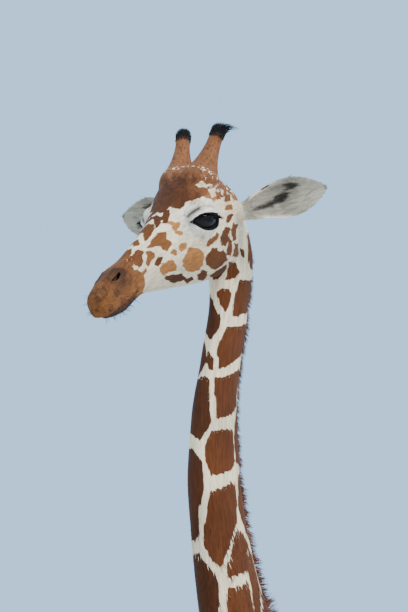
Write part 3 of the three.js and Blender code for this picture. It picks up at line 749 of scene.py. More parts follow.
def with_nostril(points, faces, normals, side):
    """Opens a curved slit with a raised wing, and sinks it into a closed pit."""
    middle, axes = nostril_axes(points, normals, side)
    local = (points - middle) @ axes
    q = local[:, :2]
    inside = ((q / [0.027, 0.016]) ** 2).sum(1) < 1
    inside &= np.abs(local[:, 2]) < 0.02
    kept, loop = removed_loop(faces, inside, q[:, 0] - 10 * np.abs(q[:, 1]))
    rim, old = q[loop], q[inside]
    turn = 2 * np.pi * share_round(rim) * np.sign(winding(rim))
    slit = np.stack([NOSTRIL_SIZE[0] * np.cos(turn), NOSTRIL_SIZE[1] * np.sin(turn)], 1)
    slit[:, 1] += side * 0.004 * (slit[:, 0] / NOSTRIL_SIZE[0]) ** 2
    t = np.linspace(1, 0, 9)[1:, None]
    plane = slit + (rim - slit) * t[..., None]
    height = old_height(plane, old, local[inside, 2], 0.003) + 0.0022 * bell(t, 0.35, 0.2)
    pit = [(1.0, -0.0015), (0.95, -0.005), (0.85, -0.01), (0.6, -0.014)]
    edge = height[-1]
    plane = np.concatenate([plane, [slit * grow for grow, _ in pit]])
    height = np.concatenate([height, [edge + drop for _, drop in pit]])
    rows = middle + np.stack([plane[..., 0], plane[..., 1], height], -1) @ axes.T
    end = middle + np.array([0, 0, edge.mean() - 0.015]) @ axes.T
    return grafted(points, kept, loop, rows, end, False)


def ear_ring(share, turn):
    """Points round an ear, in its own frame. The wall is a leaf bent to a cup; 'turn' from 0 to 1 runs over
    its back and returns inside it, where near the root the cup is filled to a tube."""
    half, cup = along(EAR, share).T[:, :, None]
    cup = np.radians(cup)
    radius = half / np.sin(np.minimum(cup, np.pi / 2))
    across_share = -np.cos(2 * np.pi * turn)
    back = (turn % 1) < 0.5
    flat = np.sqrt(np.clip(1 - np.abs(across_share) ** 6, 0.0, 1))
    wall = (EAR_WALL - 0.002) / 2 * flat * np.where(back, 1, -1)
    wall *= step(1.02, 0.9, share)[:, None] * 0.7 + 0.3
    angle = cup * across_share
    filled = np.where(back, angle, np.pi - (np.pi - cup) * across_share)
    full = 1 - step(EAR_STUB - 0.02, 0.44, share)[:, None]
    r = radius + wall
    lift = radius - radius * (1 - np.cos(cup)) / 2
    open_y, open_z = r * np.sin(angle), lift - r * np.cos(angle)
    tube = radius - 0.001
    tube_y, tube_z = tube * np.sin(filled), lift - tube * np.cos(filled)
    y, z = open_y + (tube_y - open_y) * full, open_z + (tube_z - open_z) * full
    return np.stack([np.broadcast_to(share[:, None] * EAR_LENGTH, y.shape), y, z], -1)


def with_ear(points, faces, side):
    """Cuts the ear's stub square and carries its rim out to the tip."""
    root, axes = ear_frame(side)
    local = (points - root) @ axes
    half, cup = along(EAR, [EAR_STUB])[0]
    lift = half * (1 + np.cos(np.radians(cup))) / 2
    off = np.hypot(local[:, 1], local[:, 2] - lift)
    inside = (local[:, 0] > EAR_STUB * EAR_LENGTH) & (off < 0.045) & (local[:, 0] < 0.09)
    kept, loop = removed_loop(faces, inside, -local[:, 2])
    points = points.copy()
    ring = local[loop]
    ring[:, 0] = (EAR_STUB - 0.012) * EAR_LENGTH
    points[loop] = root + ring @ axes.T
    angle = np.arctan2(ring[:, 1], lift - ring[:, 2])
    steps = np.diff(np.unwrap(np.append(angle, angle[0])))
    fine = np.stack([np.unwrap(angle), np.unwrap(angle) + steps / 2], 1).ravel()
    wrap = np.radians(cup)
    wound = (fine + np.pi) % (2 * np.pi) - np.pi
    on_back = np.abs(wound) < wrap
    inner = (np.pi - (wound % (2 * np.pi))) / (np.pi - wrap)
    share_back = np.arccos(np.clip(-wound / wrap, -1, 1)) / (2 * np.pi)
    turn = np.where(on_back, share_back, 1 - np.arccos(np.clip(-inner, -1, 1)) / (2 * np.pi))
    turn = np.unwrap(turn * 2 * np.pi) / (2 * np.pi)
    way = np.sign(steps.sum())
    even = way * np.arange(len(turn)) / len(turn)
    even += np.mean(turn - even)
    share = np.concatenate([np.linspace(EAR_STUB, 0.9, 52), np.linspace(0.91, 1, 9)])
    mix = step(EAR_STUB, 0.32, share)[:, None]
    rows = ear_ring(share, turn + (even - turn) * mix)
    rim = np.stack([ring, (ring + np.roll(ring, -1, axis=0)) / 2], 1).reshape(-1, 3)
    step_off = (rim - ear_ring(share[:1], turn[None])[0]) * [0, 1, 1]
    rows = rows + step_off * step(0.3, EAR_STUB, share)[:, None, None]
    rows = root + rows @ axes.T
    return grafted(points, kept, loop, rows, rows[-1].mean(0), True)


def whole_body():
    """The forms of every part as one closed mesh of voxels."""
    lofts = [trunk_rings(), path_rings(NECK, 260, 72, DEPTH_NECK)]
    lofts += [path_rings(TAIL, 120, 24, 0.002, TAIL_BARE), skull_rings()]
    for side in (1, -1):
        lofts += [leg_rings(FORELEG, side), leg_rings(HINDLEG, side), horn_rings(side), ear_stub(side)]
        lofts.append(ball_rings(from_head(BROW_AT, side), BROW_RADII - 0.002, HEAD_AXES))
    return union(lofts)


def evened(points, faces):
    """Creases filled where two forms meet, the joins of the limbs, chest and ossicones softened, and the
    voxels' steps evened out."""
    pairs = edges_of(faces)
    degree = np.maximum(np.bincount(pairs.ravel(), minlength=len(points)), 1)
    for _ in range(50):
        pull = neighbour_mean(points, pairs, degree) - points
        hollow = (pull * normals_of(points, faces)).sum(1, keepdims=True)
        points = points + 0.6 * pull * step(0.00005, 0.0006, hollow)
    y, z = points[:, 1], points[:, 2]
    tops = bell(z, 1.74, 0.13) * (bell(y, -0.45, 0.16) + bell(y, 0.42, 0.2))
    chest = bell(z, 2.42, 0.2) * step(-0.35, -0.5, y)
    points = smoothed(points, pairs, np.clip(tops + chest, 0, 1), 40)
    off = np.linalg.norm(folded(to_head(points)) - HORN_ROOT - [0, 0, -0.006], axis=1)
    points = smoothed(points, pairs, step(0.085, 0.04, off), 60)
    for _ in range(5):
        for share in (0.5, -0.53):  # in and out again, so that nothing shrinks
            points = points + share * (neighbour_mean(points, pairs, degree) - points)
    return points


@functools.cache
def skin_form():
    """The seamless skin: points, faces and normals, in the body frame."""
    points, faces = whole_body()
    points = evened(points, faces)
    points = sculpted(points, normals_of(points, faces))
    for side in (1, -1):
        points, faces = with_lids(points, faces, side)
        points, faces = with_nostril(points, faces, normals_of(points, faces), side)
        points, faces = with_ear(points, faces, side)
    used = np.unique(faces[faces >= 0])
    place = np.full(len(points) + 1, -1)
    place[used] = np.arange(len(used))
    points, faces = points[used], place[faces]
    return points, faces, normals_of(points, faces)


# ---------------------------------------------------------------- camera, floor and light
CAMERA_TURN, CAMERA_LOOK_UP = 30, 10  # degrees: round to the animal's left, and upwards
CAMERA_DISTANCE, PIXELS_PER_METRE = 13.0, 375.0
FRAME_WIDTH, FRAME_HEIGHT = 408, 612
AIMED_AT, AIMED_PIXEL = np.array([0.18, 0.1, 0]), (208.5, 220.3)  # a point of the head, and where it shows


def camera_axes():
    """Columns right, up and back of the camera."""
    turn, look = np.radians([CAMERA_TURN, CAMERA_LOOK_UP])
    back = np.array([np.sin(turn) * np.cos(look), -np.cos(turn) * np.cos(look), -np.sin(look)])
    right = np.array([np.cos(turn), np.sin(turn), 0])
    return np.stack([right, np.cross(back, right), back], 1)


def camera_place():
    """The camera's place in the body frame, so that the aimed point falls on its pixel."""
    right, up, back = camera_axes().T
    x = (FRAME_WIDTH / 2 - AIMED_PIXEL[0]) / PIXELS_PER_METRE
    y = (FRAME_HEIGHT / 2 - AIMED_PIXEL[1]) / PIXELS_PER_METRE
    return from_head(AIMED_AT) + right * x - up * y + back * CAMERA_DISTANCE


def on_screen(points):
    """Pixels across and down at which points of the body frame show."""
    away = (points - camera_place()) @ camera_axes()
    scale = PIXELS_PER_METRE * CAMERA_DISTANCE / -away[:, 2]
    return np.stack([FRAME_WIDTH / 2 + away[:, 0] * scale, FRAME_HEIGHT / 2 - away[:, 1] * scale], 1)


# ---------------------------------------------------------------- the lie of the hair
HEAD_PART, NECK_PART, TRUNK_PART, FORE_PART, HIND_PART, TAIL_PART, EAR_PART, HORN_PART = range(8)
CHUNK = 4000  # points measured against every station or cell at a time


def bones():
    """Stations down the middle of every part: place, radius, the way the hair runs, the part's number and
    the length run so far."""
    parts = []

    def part(number, middle, radius, tilt=(0, 0, 0)):
        run = np.gradient(middle, axis=0)
        gone = np.concatenate([[0], np.cumsum(np.linalg.norm(np.diff(middle, axis=0), axis=1))])
        parts.append((middle, radius, unit(unit(run) + tilt), np.full(len(middle), number), gone))

    x = np.linspace(0.6, -0.04, 50)
    top, bottom, half = along(HEAD, x)[:, :3].T
    part(HEAD_PART, from_head(np.stack([x, 0 * x, (top + bottom) / 2], 1)), (half + top - bottom) / 3)
    row = along(NECK, np.linspace(10.6, 1.2, 90))
    part(NECK_PART, np.stack([0 * row[:, 0], row[:, 0], row[:, 1]], 1), row[:, 2] * 1.15)
    row = along(TRUNK, np.linspace(0.72, -0.74, 60))
    back = np.linspace(-0.72, 0.74, 60)
    middle = row[:, 0] + (row[:, 2] - row[:, 3]) / 2
    part(TRUNK_PART, np.stack([0 * back, back, middle], 1), row[:, 1] * 1.25, (0, 0, -0.3))
    for number, table in ((FORE_PART, FORELEG), (HIND_PART, HINDLEG)):
        drop = np.linspace(-1.95, -0.08, 80)
        row = along(table, drop)
        for side in (1, -1):
            part(number, np.stack([side * row[:, 0], row[:, 1], -drop], 1), row[:, 2:5].mean(1))
    row = along(TAIL, np.linspace(0.8, 9, 60))
    part(TAIL_PART, np.stack([0 * row[:, 0], row[:, 0], row[:, 1]], 1), row[:, 2] + 0.01)
    for side in (1, -1):
        root, axes = ear_frame(side)
        share = np.linspace(0.12, 1, 24)
        part(EAR_PART, root + (share * EAR_LENGTH)[:, None] * axes[:, 0], 0.03 + 0 * share)
        share = np.linspace(0.25, 1, 12)
        part(HORN_PART, horn_point(share, side), along(HORN, share)[:, 0])
    return [np.concatenate(column) for column in zip(*parts)]


def gaps(a, b):
    """Squared distances of all points a from all points b: |a|^2 + |b|^2 - 2ab."""
    middle = b.mean(0)
    a, b = (a - middle).astype(np.float32), (b - middle).astype(np.float32)
    return np.maximum((a**2).sum(1)[:, None] + (b**2).sum(1) - 2 * a @ b.T, 0)


def laid(points, normals):
    """For each point: its part, the way its hair lies along the skin, and combing coordinates, which are
    across, across and an eighth of the length along the part."""
    middle, radius, run, number, gone = bones()
    part = np.empty(len(points), int)
    way, comb = np.empty_like(points), np.empty_like(points)
    for at in range(0, len(points), CHUNK):
        here = slice(at, at + CHUNK)
        near = gaps(points[here], middle) / (radius**2).astype(np.float32)
        best = near.argmin(1)
        weight = np.exp(-1.5 * (near - near.min(1, keepdims=True)))
        way[here] = weight @ run
        offset = points[here] - middle[best]
        forward = run[best]
        across = unit(np.cross(forward, [0.3, 0.9, 0.3]))
        comb[here] = np.stack([
            (offset * across).sum(1),
            (offset * np.cross(forward, across)).sum(1),
            (gone[best] + (offset * forward).sum(1)) / 8,
        ], 1)  # fmt: skip
        part[here] = number[best]
    way = unit(way) - normals * (unit(way) * normals).sum(1, keepdims=True)
    return part, unit(way), comb


# ---------------------------------------------------------------- markings
# Each marking: how dark it is from 0 to 1, then its corners' pixels across and down, in a frame of
# 408 x 612.
EAR_MARKS = [
    (0.95, 250.7, 208, 259, 205.5, 269, 201, 275, 196.5, 278, 192.5, 284.5, 189.5, 289.6, 192.5, 283, 202,
     271, 207.2, 256, 210),
    (0.9, 281, 184, 289.6, 182.8, 300, 184.4, 294.6, 187, 289.6, 191, 282.8, 191),
    (0.45, 303, 203, 306, 195, 311, 191, 317, 189, 312, 192, 307.5, 196.5, 304, 203.5),
]  # fmt: skip
FACE_MARKS = [
    (0.55, 145.5, 224, 153, 224.5, 153, 231, 148.5, 237, 145, 242, 143.5, 239.5, 144.5, 233.5, 141.5, 231),
    (0.5, 133.5, 241, 137.5, 240, 140, 243, 137.5, 245.5, 134, 244.5),
    (0.5, 126.5, 249.5, 132.5, 248, 131.5, 252.5, 127, 256, 124.5, 254.5),
    (0.5, 135, 251.5, 139.5, 249.5, 143.5, 251, 142, 266.5, 138, 266, 130.5, 261, 133, 258),
    (0.45, 158, 234, 165.5, 232.5, 166, 238, 171, 244, 167.5, 250.5, 164, 249.5, 161.5, 244.5, 147, 247.5,
     151, 242),
    (0.4, 147, 252.5, 151, 251.5, 155.5, 255.5, 153, 261, 148.5, 265, 147, 264),
    (0.6, 158.5, 257, 164, 256.5, 161.5, 261, 158, 266, 152.5, 265),
    (0.25, 163.5, 264, 168.5, 260.5, 173, 261, 176, 265, 176, 270.5, 167.5, 271.5, 159.5, 274.5, 160,
     269.5),
    (0.22, 185.5, 255.5, 189.5, 249.5, 196, 248.5, 204, 252.5, 202.5, 262, 199, 269.5, 192.5, 272.5, 186.5,
     270.5, 183, 266, 183, 260),
    (0.62, 207.5, 256, 213.5, 248.5, 217, 248.5, 219.5, 252.5, 223, 250.5, 226, 255.5, 227, 260, 220, 266,
     215, 269.5, 210.5, 267.5, 205.5, 261),
    (0.45, 208.5, 239, 215, 232, 218, 234, 217, 239, 211.5, 244, 207.5, 246),
    (0.62, 222, 233.5, 226, 226.5, 229.5, 228.5, 228.5, 238, 226, 245.5, 221, 244, 220.5, 237),
    (0.55, 229, 240, 230.5, 240, 232, 248.5, 230.5, 255.5, 227.5, 254.5, 227.5, 248.5),
    (0.55, 231.5, 230.5, 234, 224.5, 237, 224.5, 235.5, 238, 233.5, 240),
    (0.5, 235.5, 244.5, 238, 244.5, 238, 257, 233, 256),
    (0.35, 240.5, 249, 244, 249.5, 245, 258, 241.5, 257),
    (0.2, 179, 246.5, 181.5, 244, 186.5, 244, 185.5, 247.5, 181.5, 252),
    (0.25, 171, 252.5, 173.5, 248.5, 177.5, 254.5, 175, 255.5),
    (0.85, 163.5, 278, 171, 276, 181, 274.5, 186, 278, 181.5, 280.5, 175, 282, 167.5, 280),
    (0.85, 184, 280.5, 191.5, 277.5, 193, 279.5, 186.5, 282),
    (0.75, 198, 275.5, 203, 270.5, 207, 271.5, 206.5, 275.5, 203, 279.5, 198.5, 279.5),
    (0.8, 210.5, 275.5, 220, 269.5, 226.5, 265, 226, 267.5, 220, 276.5, 214.5, 279),
    (0.6, 229.5, 263, 236.5, 263, 237, 268.5, 239.5, 271.5, 234.5, 278, 224, 280.5, 227.5, 274.5),
    (0.1, 169.5, 222, 177, 222.5, 181.5, 221.5, 180, 225.5, 177, 230.5, 183.5, 232, 184, 234.5, 179, 235.5,
     176, 232.5),
    (0.8, 154, 216, 160.5, 216.5, 160, 222.5, 157, 226.5, 154.5, 222),
    (0.75, 163.5, 209.5, 169.5, 209.5, 169, 216, 167.5, 223.5, 164, 223.5, 162.5, 217),
    (0.7, 147.5, 214, 151, 211.5, 152, 217, 148.5, 220, 145.5, 219),
    (0.45, 225, 196, 229.5, 195, 230, 200.5, 226, 202),
    (0.2, 232.5, 195, 238, 195, 237, 200.5, 233.5, 200.5),
    (0.35, 225.5, 206, 231.5, 204.5, 232.5, 209.5, 226, 209.5),
    (0.6, 227.5, 215.5, 232.5, 214, 228.5, 222.5, 226, 222),
    (0.05, 200, 198, 208, 197.5, 207, 203, 201, 204.5),
    (0.78, 152, 206, 156, 190, 162, 178, 176, 176, 192, 183, 203, 193, 198, 203, 186, 202, 180, 209, 170,
     207, 160, 213),
    (0.45, 104, 262, 118, 247, 131, 232, 140, 212, 148, 196, 156, 180, 165, 181, 158, 198, 150, 214, 141,
     228, 131, 241, 121, 254, 110, 268),
    (0.35, 60, 262, 104, 258, 118, 258, 127, 265, 134, 270, 141.5, 271, 145.5, 269.5, 144, 281, 142, 294,
     146, 310, 110, 345, 60, 345),
]  # fmt: skip
NECK_MARKS = [
    (0.7, 247, 236, 251.5, 230, 255, 240, 258, 255, 263, 267.5, 259, 273, 250.5, 268.5, 248.5, 254.5),
    (0.45, 217, 292.5, 221.5, 288.5, 228.5, 290, 231, 294, 228.5, 306, 225.5, 311.5, 221.5, 305, 217,
     296.5),
    (1, 203, 289, 209.5, 295, 215.5, 309.5, 220, 319, 218.5, 326.5, 212.5, 338.5, 209.5, 339.5, 202, 325,
     200, 307),
    (0.8, 240, 281, 262, 279, 258, 297.5, 253, 309.5, 241, 314.5, 232, 317, 233.5, 301.5, 237, 288.5),
    (0.8, 227, 326.5, 235.5, 327.5, 246.5, 324, 247.5, 334, 244.5, 347, 240, 356, 232.5, 362.5, 218.5,
     369.5, 218, 349.5, 221.5, 336.5),
    (0.9, 208, 351, 213.5, 359, 213, 370, 209.5, 369.5, 207, 362.5),
    (0.9, 199, 337, 203.5, 340.5, 206, 350.5, 205.5, 362.5, 197, 378.5, 190, 376, 193, 354),
    (0.95, 205, 375.5, 209.5, 380, 209, 397, 209.5, 410, 211, 422, 199.5, 440.5, 194.5, 436, 184, 427.5,
     182, 410, 184, 397, 191, 383),
    (0.8, 216, 378, 225, 377, 239, 370, 240, 377.5, 237.5, 388.5, 236.5, 404.5, 235, 410.5, 227, 415.5,
     217.5, 418.5, 215, 394),
    (0.7, 252, 336, 246.5, 338.5, 244.5, 350.5, 241.5, 360.5, 241, 373.5, 248, 378),
    (0.75, 240, 385, 246, 385, 246, 470, 236.5, 464, 233.5, 436, 236, 417, 238, 400),
    (0.75, 212, 431, 222.5, 430.5, 232.5, 428.5, 233, 437, 235, 461, 231, 469.5, 222, 473, 211, 476.5,
     206.5, 460, 204.5, 446),
    (0.95, 191, 449, 198.5, 456.5, 201.5, 462, 202.5, 475, 204, 484, 201.5, 501.5, 198.5, 508, 197.5, 517,
     199.5, 525.5, 198.5, 535.5, 194.5, 540, 184, 537, 180, 492.5, 181, 460),
    (0.8, 209.5, 491.5, 218, 490.5, 235.5, 483.5, 236.5, 497, 237, 514.5, 236.5, 523.5, 232, 535.5, 222,
     565, 219, 566.5, 214, 561.5, 208, 550.5, 203.5, 545.5, 205.5, 521, 207.5, 508),
    (0.95, 184, 558.5, 199, 554.5, 203.5, 561.5, 211, 568.5, 216.5, 580.5, 219, 591.5, 219.5, 640, 186,
     640),
    (0.8, 238.5, 530, 245, 538.5, 247.5, 545.5, 245, 570.5, 236.5, 575, 227, 576, 227.5, 566, 231, 555, 234,
     541),
    (0.75, 228.5, 588, 236.5, 589, 248.5, 582.5, 250.5, 593.5, 258, 640, 227.5, 640, 227, 599),
    (0.7, 239.5, 472, 247, 468, 251, 501.5, 255, 523.5, 258, 545, 252, 545.5, 248.5, 536.5, 241.5, 519,
     238.5, 510, 238, 484),
    (0.7, 248, 550.5, 250.5, 550.5, 256, 574, 259.5, 588, 263, 640, 260, 640, 252, 593.5, 247.5, 569.5),
    (0.7, 253, 548.5, 262, 560, 272, 578, 278, 640, 266, 640, 261, 589, 256, 569.5),
]  # fmt: skip


def inside_by(pixels, corners):
    """Distance inside a polygon, negative outside, in pixels."""
    corners = np.array(corners, float)
    after = np.roll(corners, -1, axis=0)
    side = after - corners
    away = pixels[:, None] - corners
    share = np.clip((away * side).sum(-1) / (side**2).sum(-1), 0, 1)
    near = np.linalg.norm(away - share[..., None] * side, axis=-1).min(1)
    y, level = pixels[:, 1:2], corners[:, 1]
    crosses = (level > y) != (after[:, 1] > y)
    at = corners[:, 0] + (y - level) * side[:, 0] / np.where(side[:, 1] == 0, 1e-9, side[:, 1])
    odd = (crosses & (pixels[:, :1] < at)).sum(1) % 2 == 1
    return np.where(odd, near, -near)


def marked(pixels, marks):
    """The largest distance inside any marking, in metres, and how dark that marking is."""
    best, shade = np.full(len(pixels), -0.08), np.zeros(len(pixels))
    for dark, *flat in marks:
        corners = np.reshape(flat, (-1, 2))
        low, high = np.min(corners, 0) - 30, np.max(corners, 0) + 30
        near = np.flatnonzero((pixels > low).all(1) & (pixels < high).all(1))
        if len(near):
            d = inside_by(pixels[near], corners) / PIXELS_PER_METRE
            nearer = d > best[near]
            shade[near[nearer]] = dark
            best[near[nearer]] = d[nearer]
    return best, shade


def mark_spacing(points, part):
    """How far apart the net's marks lie on each part; closer at the top of the neck and down the legs."""
    z = points[:, 2]
    spacing = np.full(len(points), 0.185)
    spacing = np.where(part == HEAD_PART, 0.05, spacing)
    spacing = np.where(part == NECK_PART, 0.1 + 0.09 * step(3.7, 2.6, z), spacing)
    spacing = np.where((part == FORE_PART) | (part == HIND_PART), 0.055 + 0.11 * step(0.7, 1.75, z), spacing)
    spacing = np.where(part == TAIL_PART, 0.045, spacing)
    return spacing


def squeezed(points):
    """A space in which the tall marks of the neck and legs are as tall as they are wide."""
    z = points[:, 2]
    tall = z - 0.3 * np.maximum(z - 2.6, 0) - 0.25 * np.minimum(z - 1.6, 0)
    return np.stack([points[:, 0], points[:, 1], tall], 1)


def reticulated(points, part, rng):
    """Distance inside the cells of a Voronoi net, less half a line's width, and a shade for each cell."""
    place = squeezed(points)
    spacing = mark_spacing(points, part)
    order = rng.permutation(len(points))[:60000]
    seeds = []
    while len(order):
        seed = order[0]
        seeds.append(seed)
        gap = np.linalg.norm(place[order] - place[seed], axis=1)
        order = order[gap > spacing[seed] * rng.uniform(0.82, 1.12)]
    seeds = np.array(seeds)
    shade = rng.uniform(0.55, 0.95, len(seeds))
    inside, tone = np.empty(len(points)), np.empty(len(points))
    line = np.interp(spacing, [0.045, 0.08, 0.18], [0.006, 0.0075, 0.0095])
    between = np.sqrt(gaps(place[seeds], place[seeds]))
    np.fill_diagonal(between, 1e9)
    for at in range(0, len(points), CHUNK):
        here = slice(at, at + CHUNK)
        away = gaps(place[here], place[seeds])
        first = away.argmin(1)
        near = away.min(1, keepdims=True)
        away[np.arange(len(first)), first] = 1e9
        inside[here] = ((away - near) / (2 * between[first])).min(1)
        tone[here] = shade[first]
    return inside - line, tone


def linear(colour):
    """Display colours from 0 to 1 as linear light."""
    colour = np.asarray(colour, float)
    return np.where(colour <= 0.04045, colour / 12.92, ((colour + 0.055) / 1.055) ** 2.4)


# The first colour is the cream under painted shade, laid on skin that faces down.
SHADED_CREAM, WHITE_LID = (0.84, 0.75, 0.63), (0.93, 0.88, 0.79)
TAN, DEEP, NECK_DEEP = (0.68, 0.44, 0.24), (0.27, 0.15, 0.09), (0.28, 0.145, 0.07)
MUZZLE, MUZZLE_DARK, LIP = (0.47, 0.28, 0.14), (0.26, 0.16, 0.1), (0.24, 0.16, 0.12)
PINK_HAIR, HORN_HAIR, BLACK_HAIR = (0.66, 0.47, 0.37), (0.55, 0.34, 0.21), (0.06, 0.05, 0.045)
EAR_INSIDE, EAR_BACK, EAR_DARK = (0.66, 0.61, 0.53), (0.74, 0.66, 0.54), (0.16, 0.13, 0.12)


def blend_in(colour, other, share):
    return colour + (linear(other) - colour) * np.clip(share, 0, 1)[:, None]


def ear_pixels(points, side):
    """Where an ear's points would show if they lay on the left ear."""
    root, axes = ear_frame(side)
    local = (points - root) @ axes
    root, axes = ear_frame(1)
    return on_screen(root + (local * [1, side, 1]) @ axes.T)


MARKING_KEYS = ("patch", "dark", "ground", "figure")


class Markings:
    """The markings on each point: distance inside a mark and inside black, pale and dark colour. Each
    method paints over what those before it left."""

    def __init__(self, points, normals, part, comb):
        self.points, self.normals, self.part, self.comb = points, normals, part, comb
        self.h = to_head(points)
        self.side = np.where(self.h[:, 1] < 0, -1, 1)
        self.on_head = (part == HEAD_PART) | (part == EAR_PART) | (part == HORN_PART)
        self.leg = (part == FORE_PART) | (part == HIND_PART)
        self.gap = mouth_gap(self.h)
        self.speckle = noise_field(points, 0.02, 11)
        self.fine = noise_field(points, 0.009, 12)
        self.grain = noise_field(points, 0.006, 16)
        self.patch, self.dark = np.zeros(len(points)), np.full(len(points), -0.02)
        self.ground = np.tile(linear(coat().cream), (len(points), 1))
        self.figure = np.zeros((len(points), 3))

    def on_ground(self, colour, share):
        self.ground = blend_in(self.ground, colour, share)

    def on_figure(self, colour, share):
        self.figure = blend_in(self.figure, colour, share)

    def marks(self):
        """The marks placed where they show, and the net elsewhere. Returns how dark each is."""
        points, h, on_head = self.points, self.h, self.on_head
        mirrored = np.where((self.part == NECK_PART)[:, None], points, from_head(folded(h)))
        pixels = on_screen(mirrored)
        wander = 5 * step(0.0, -0.04, h[:, 1]) * step(-0.05, 0.02, h[:, 0]) * on_head
        field = np.stack([noise_field(points, 0.12, 1), noise_field(points, 0.12, 2)], 1)
        pixels = pixels + wander[:, None] * field
        by_eye, eye_shade = marked(pixels, FACE_MARKS + NECK_MARKS)
        by_eye = by_eye + np.where(on_head, 0.0018, 0.0012)
        by_eye = by_eye + 0.005 * noise_field(points, 0.03, 3) * step(0.3, 0.42, h[:, 0]) * on_head
        net, net_shade = reticulated(points, self.part, np.random.default_rng(4))
        facing = self.normals @ camera_axes()[:, 2]
        seen = step(-0.3, -0.08, facing) * step(640, 615, pixels[:, 1]) * (self.part == NECK_PART)
        seen = np.maximum(seen, step(-0.12, -0.05, h[:, 0]) * on_head)
        self.patch = net + (by_eye - net) * seen
        return np.where(seen > 0.5, eye_shade, net_shade)

    def base_colours(self, shade):
        """Cream lines, greyer with painted shade where the skin faces down, and browns by how dark each mark
        is.
        """
        # painted shade: the cream turns greyer where the skin faces down
        self.on_ground(SHADED_CREAM, step(0.1, -0.5, self.normals[:, 2]) * 0.8)
        tan = linear(coat().face_tan)
        head_brown = tan + (linear(coat().face_brown) - tan) * step(0.1, 0.6, shade)[:, None]
        head_brown = blend_in(head_brown, DEEP, step(0.6, 1.0, shade))
        brown = linear(coat().neck_brown)
        neck_brown = brown + (linear(NECK_DEEP) - brown) * step(0.7, 1, shade)[:, None]
        share = (step(-0.06, 0.0, self.h[:, 0]) * self.on_head)[:, None]
        self.figure = neck_brown + (head_brown - neck_brown) * share

    def muzzle(self):
        """Mottled brown, darker round the nostrils, over the whole muzzle; the lower lip is darker still."""
        h, fine = self.h, self.fine
        broken = h[:, 0] + 0.014 * noise_field(self.points, 0.045, 13) + 0.006 * fine
        muzzle = step(0.43, 0.49, broken + 0.25 * (h[:, 2] + 0.11)) * self.on_head
        self.on_figure(MUZZLE, muzzle)
        mottle = step(-0.2, 1.2, 0.7 * self.speckle + 0.5 * fine + noise_field(self.points, 0.05, 14))
        nostril_far = np.linalg.norm(folded(h) - NOSTRIL_AT, axis=1)
        deep = 0.75 * mottle + 0.75 * step(0.05, 0.02, nostril_far)
        self.on_figure(MUZZLE_DARK, muzzle * np.clip(deep, 0, 0.92))
        whole = -0.004 + 0.02 * step(0.3, 0.8, muzzle + 0.2 * fine) * self.on_head
        self.patch = np.maximum(self.patch, whole)
        self.on_figure(LIP, self.on_head * step(0.45, 0.47, h[:, 0]) * step(0.0, -0.003, self.gap))

    def crown(self):
        """Specks between the ossicones and brown flecks round them."""
        h, speckle, on_head = self.h, self.speckle, self.on_head
        hairs = noise_field(self.comb * [1, 1, 2.6], 0.012, 15)
        high = h[:, 2] - 0.3 * np.abs(h[:, 1])
        top_zone = on_head * step(0.235, 0.2, h[:, 0]) * step(0.072, 0.1, high)
        pink_zone = top_zone * step(0.165, 0.12, h[:, 0] + 0.012 * speckle)
        specks = pink_zone * (0.008 + 0.018 * step(-0.1, 0.9, self.grain + 0.4 * speckle))
        topped = np.maximum(self.patch, 0.02 * top_zone - 0.001) - specks
        self.patch = np.where(top_zone > 0.05, topped, self.patch)
        browned = top_zone * (1 - pink_zone) * step(-0.6, 0.8, speckle + 0.4 * self.grain)
        self.on_figure(DEEP, browned * 0.75)
        self.on_figure(HORN_HAIR, pink_zone * step(-0.8, 0.6, self.fine) * 0.8)
        self.on_figure(PINK_HAIR, pink_zone * step(-0.2, 1.0, noise_field(self.points, 0.03, 17)) * 0.6)
        behind = step(0.2, 0.15, h[:, 0] + 0.012 * speckle) * step(0.035, 0.06, h[:, 2])
        crown = on_head * (self.part != EAR_PART) * behind
        flecks = 0.006 * step(-0.6, 0.35, hairs + 0.3 * speckle) - 0.003
        flecked = (crown > 0.3) & (top_zone < 0.3)
        self.patch = np.where(flecked, np.maximum(self.patch, flecks), self.patch)
        self.on_figure(HORN_HAIR, crown * (1 - top_zone) * 0.5)

    def legs_and_belly(self):
        """The legs pale towards the feet, and the belly and the inner legs have few marks."""
        part, z, leg, normals = self.part, self.points[:, 2], self.leg, self.normals
        self.patch = self.patch - leg * 0.014 * step(1.0, 0.3, z)
        low_leg = leg * step(1.0, 0.5, z)
        tail = (part == TAIL_PART) * step(1.9, 1.5, z)
        self.patch = np.where(tail > 0.3, 0.003 + 0.01 * self.speckle, self.patch)
        self.on_figure(DEEP, tail)
        self.on_ground(TAN, 0.6 * tail)
        inner = step(0.3, 0.9, -normals[:, 0] * np.sign(self.points[:, 0])) * leg
        belly = (part == TRUNK_PART) * step(-0.55, -0.9, normals[:, 2])
        self.patch = self.patch - inner * 0.02
        self.patch = self.patch - belly * 0.03
        self.on_figure(TAN, np.maximum(0.5 * belly, 0.35 * leg * step(1.4, 0.9, z) + 0.4 * low_leg))

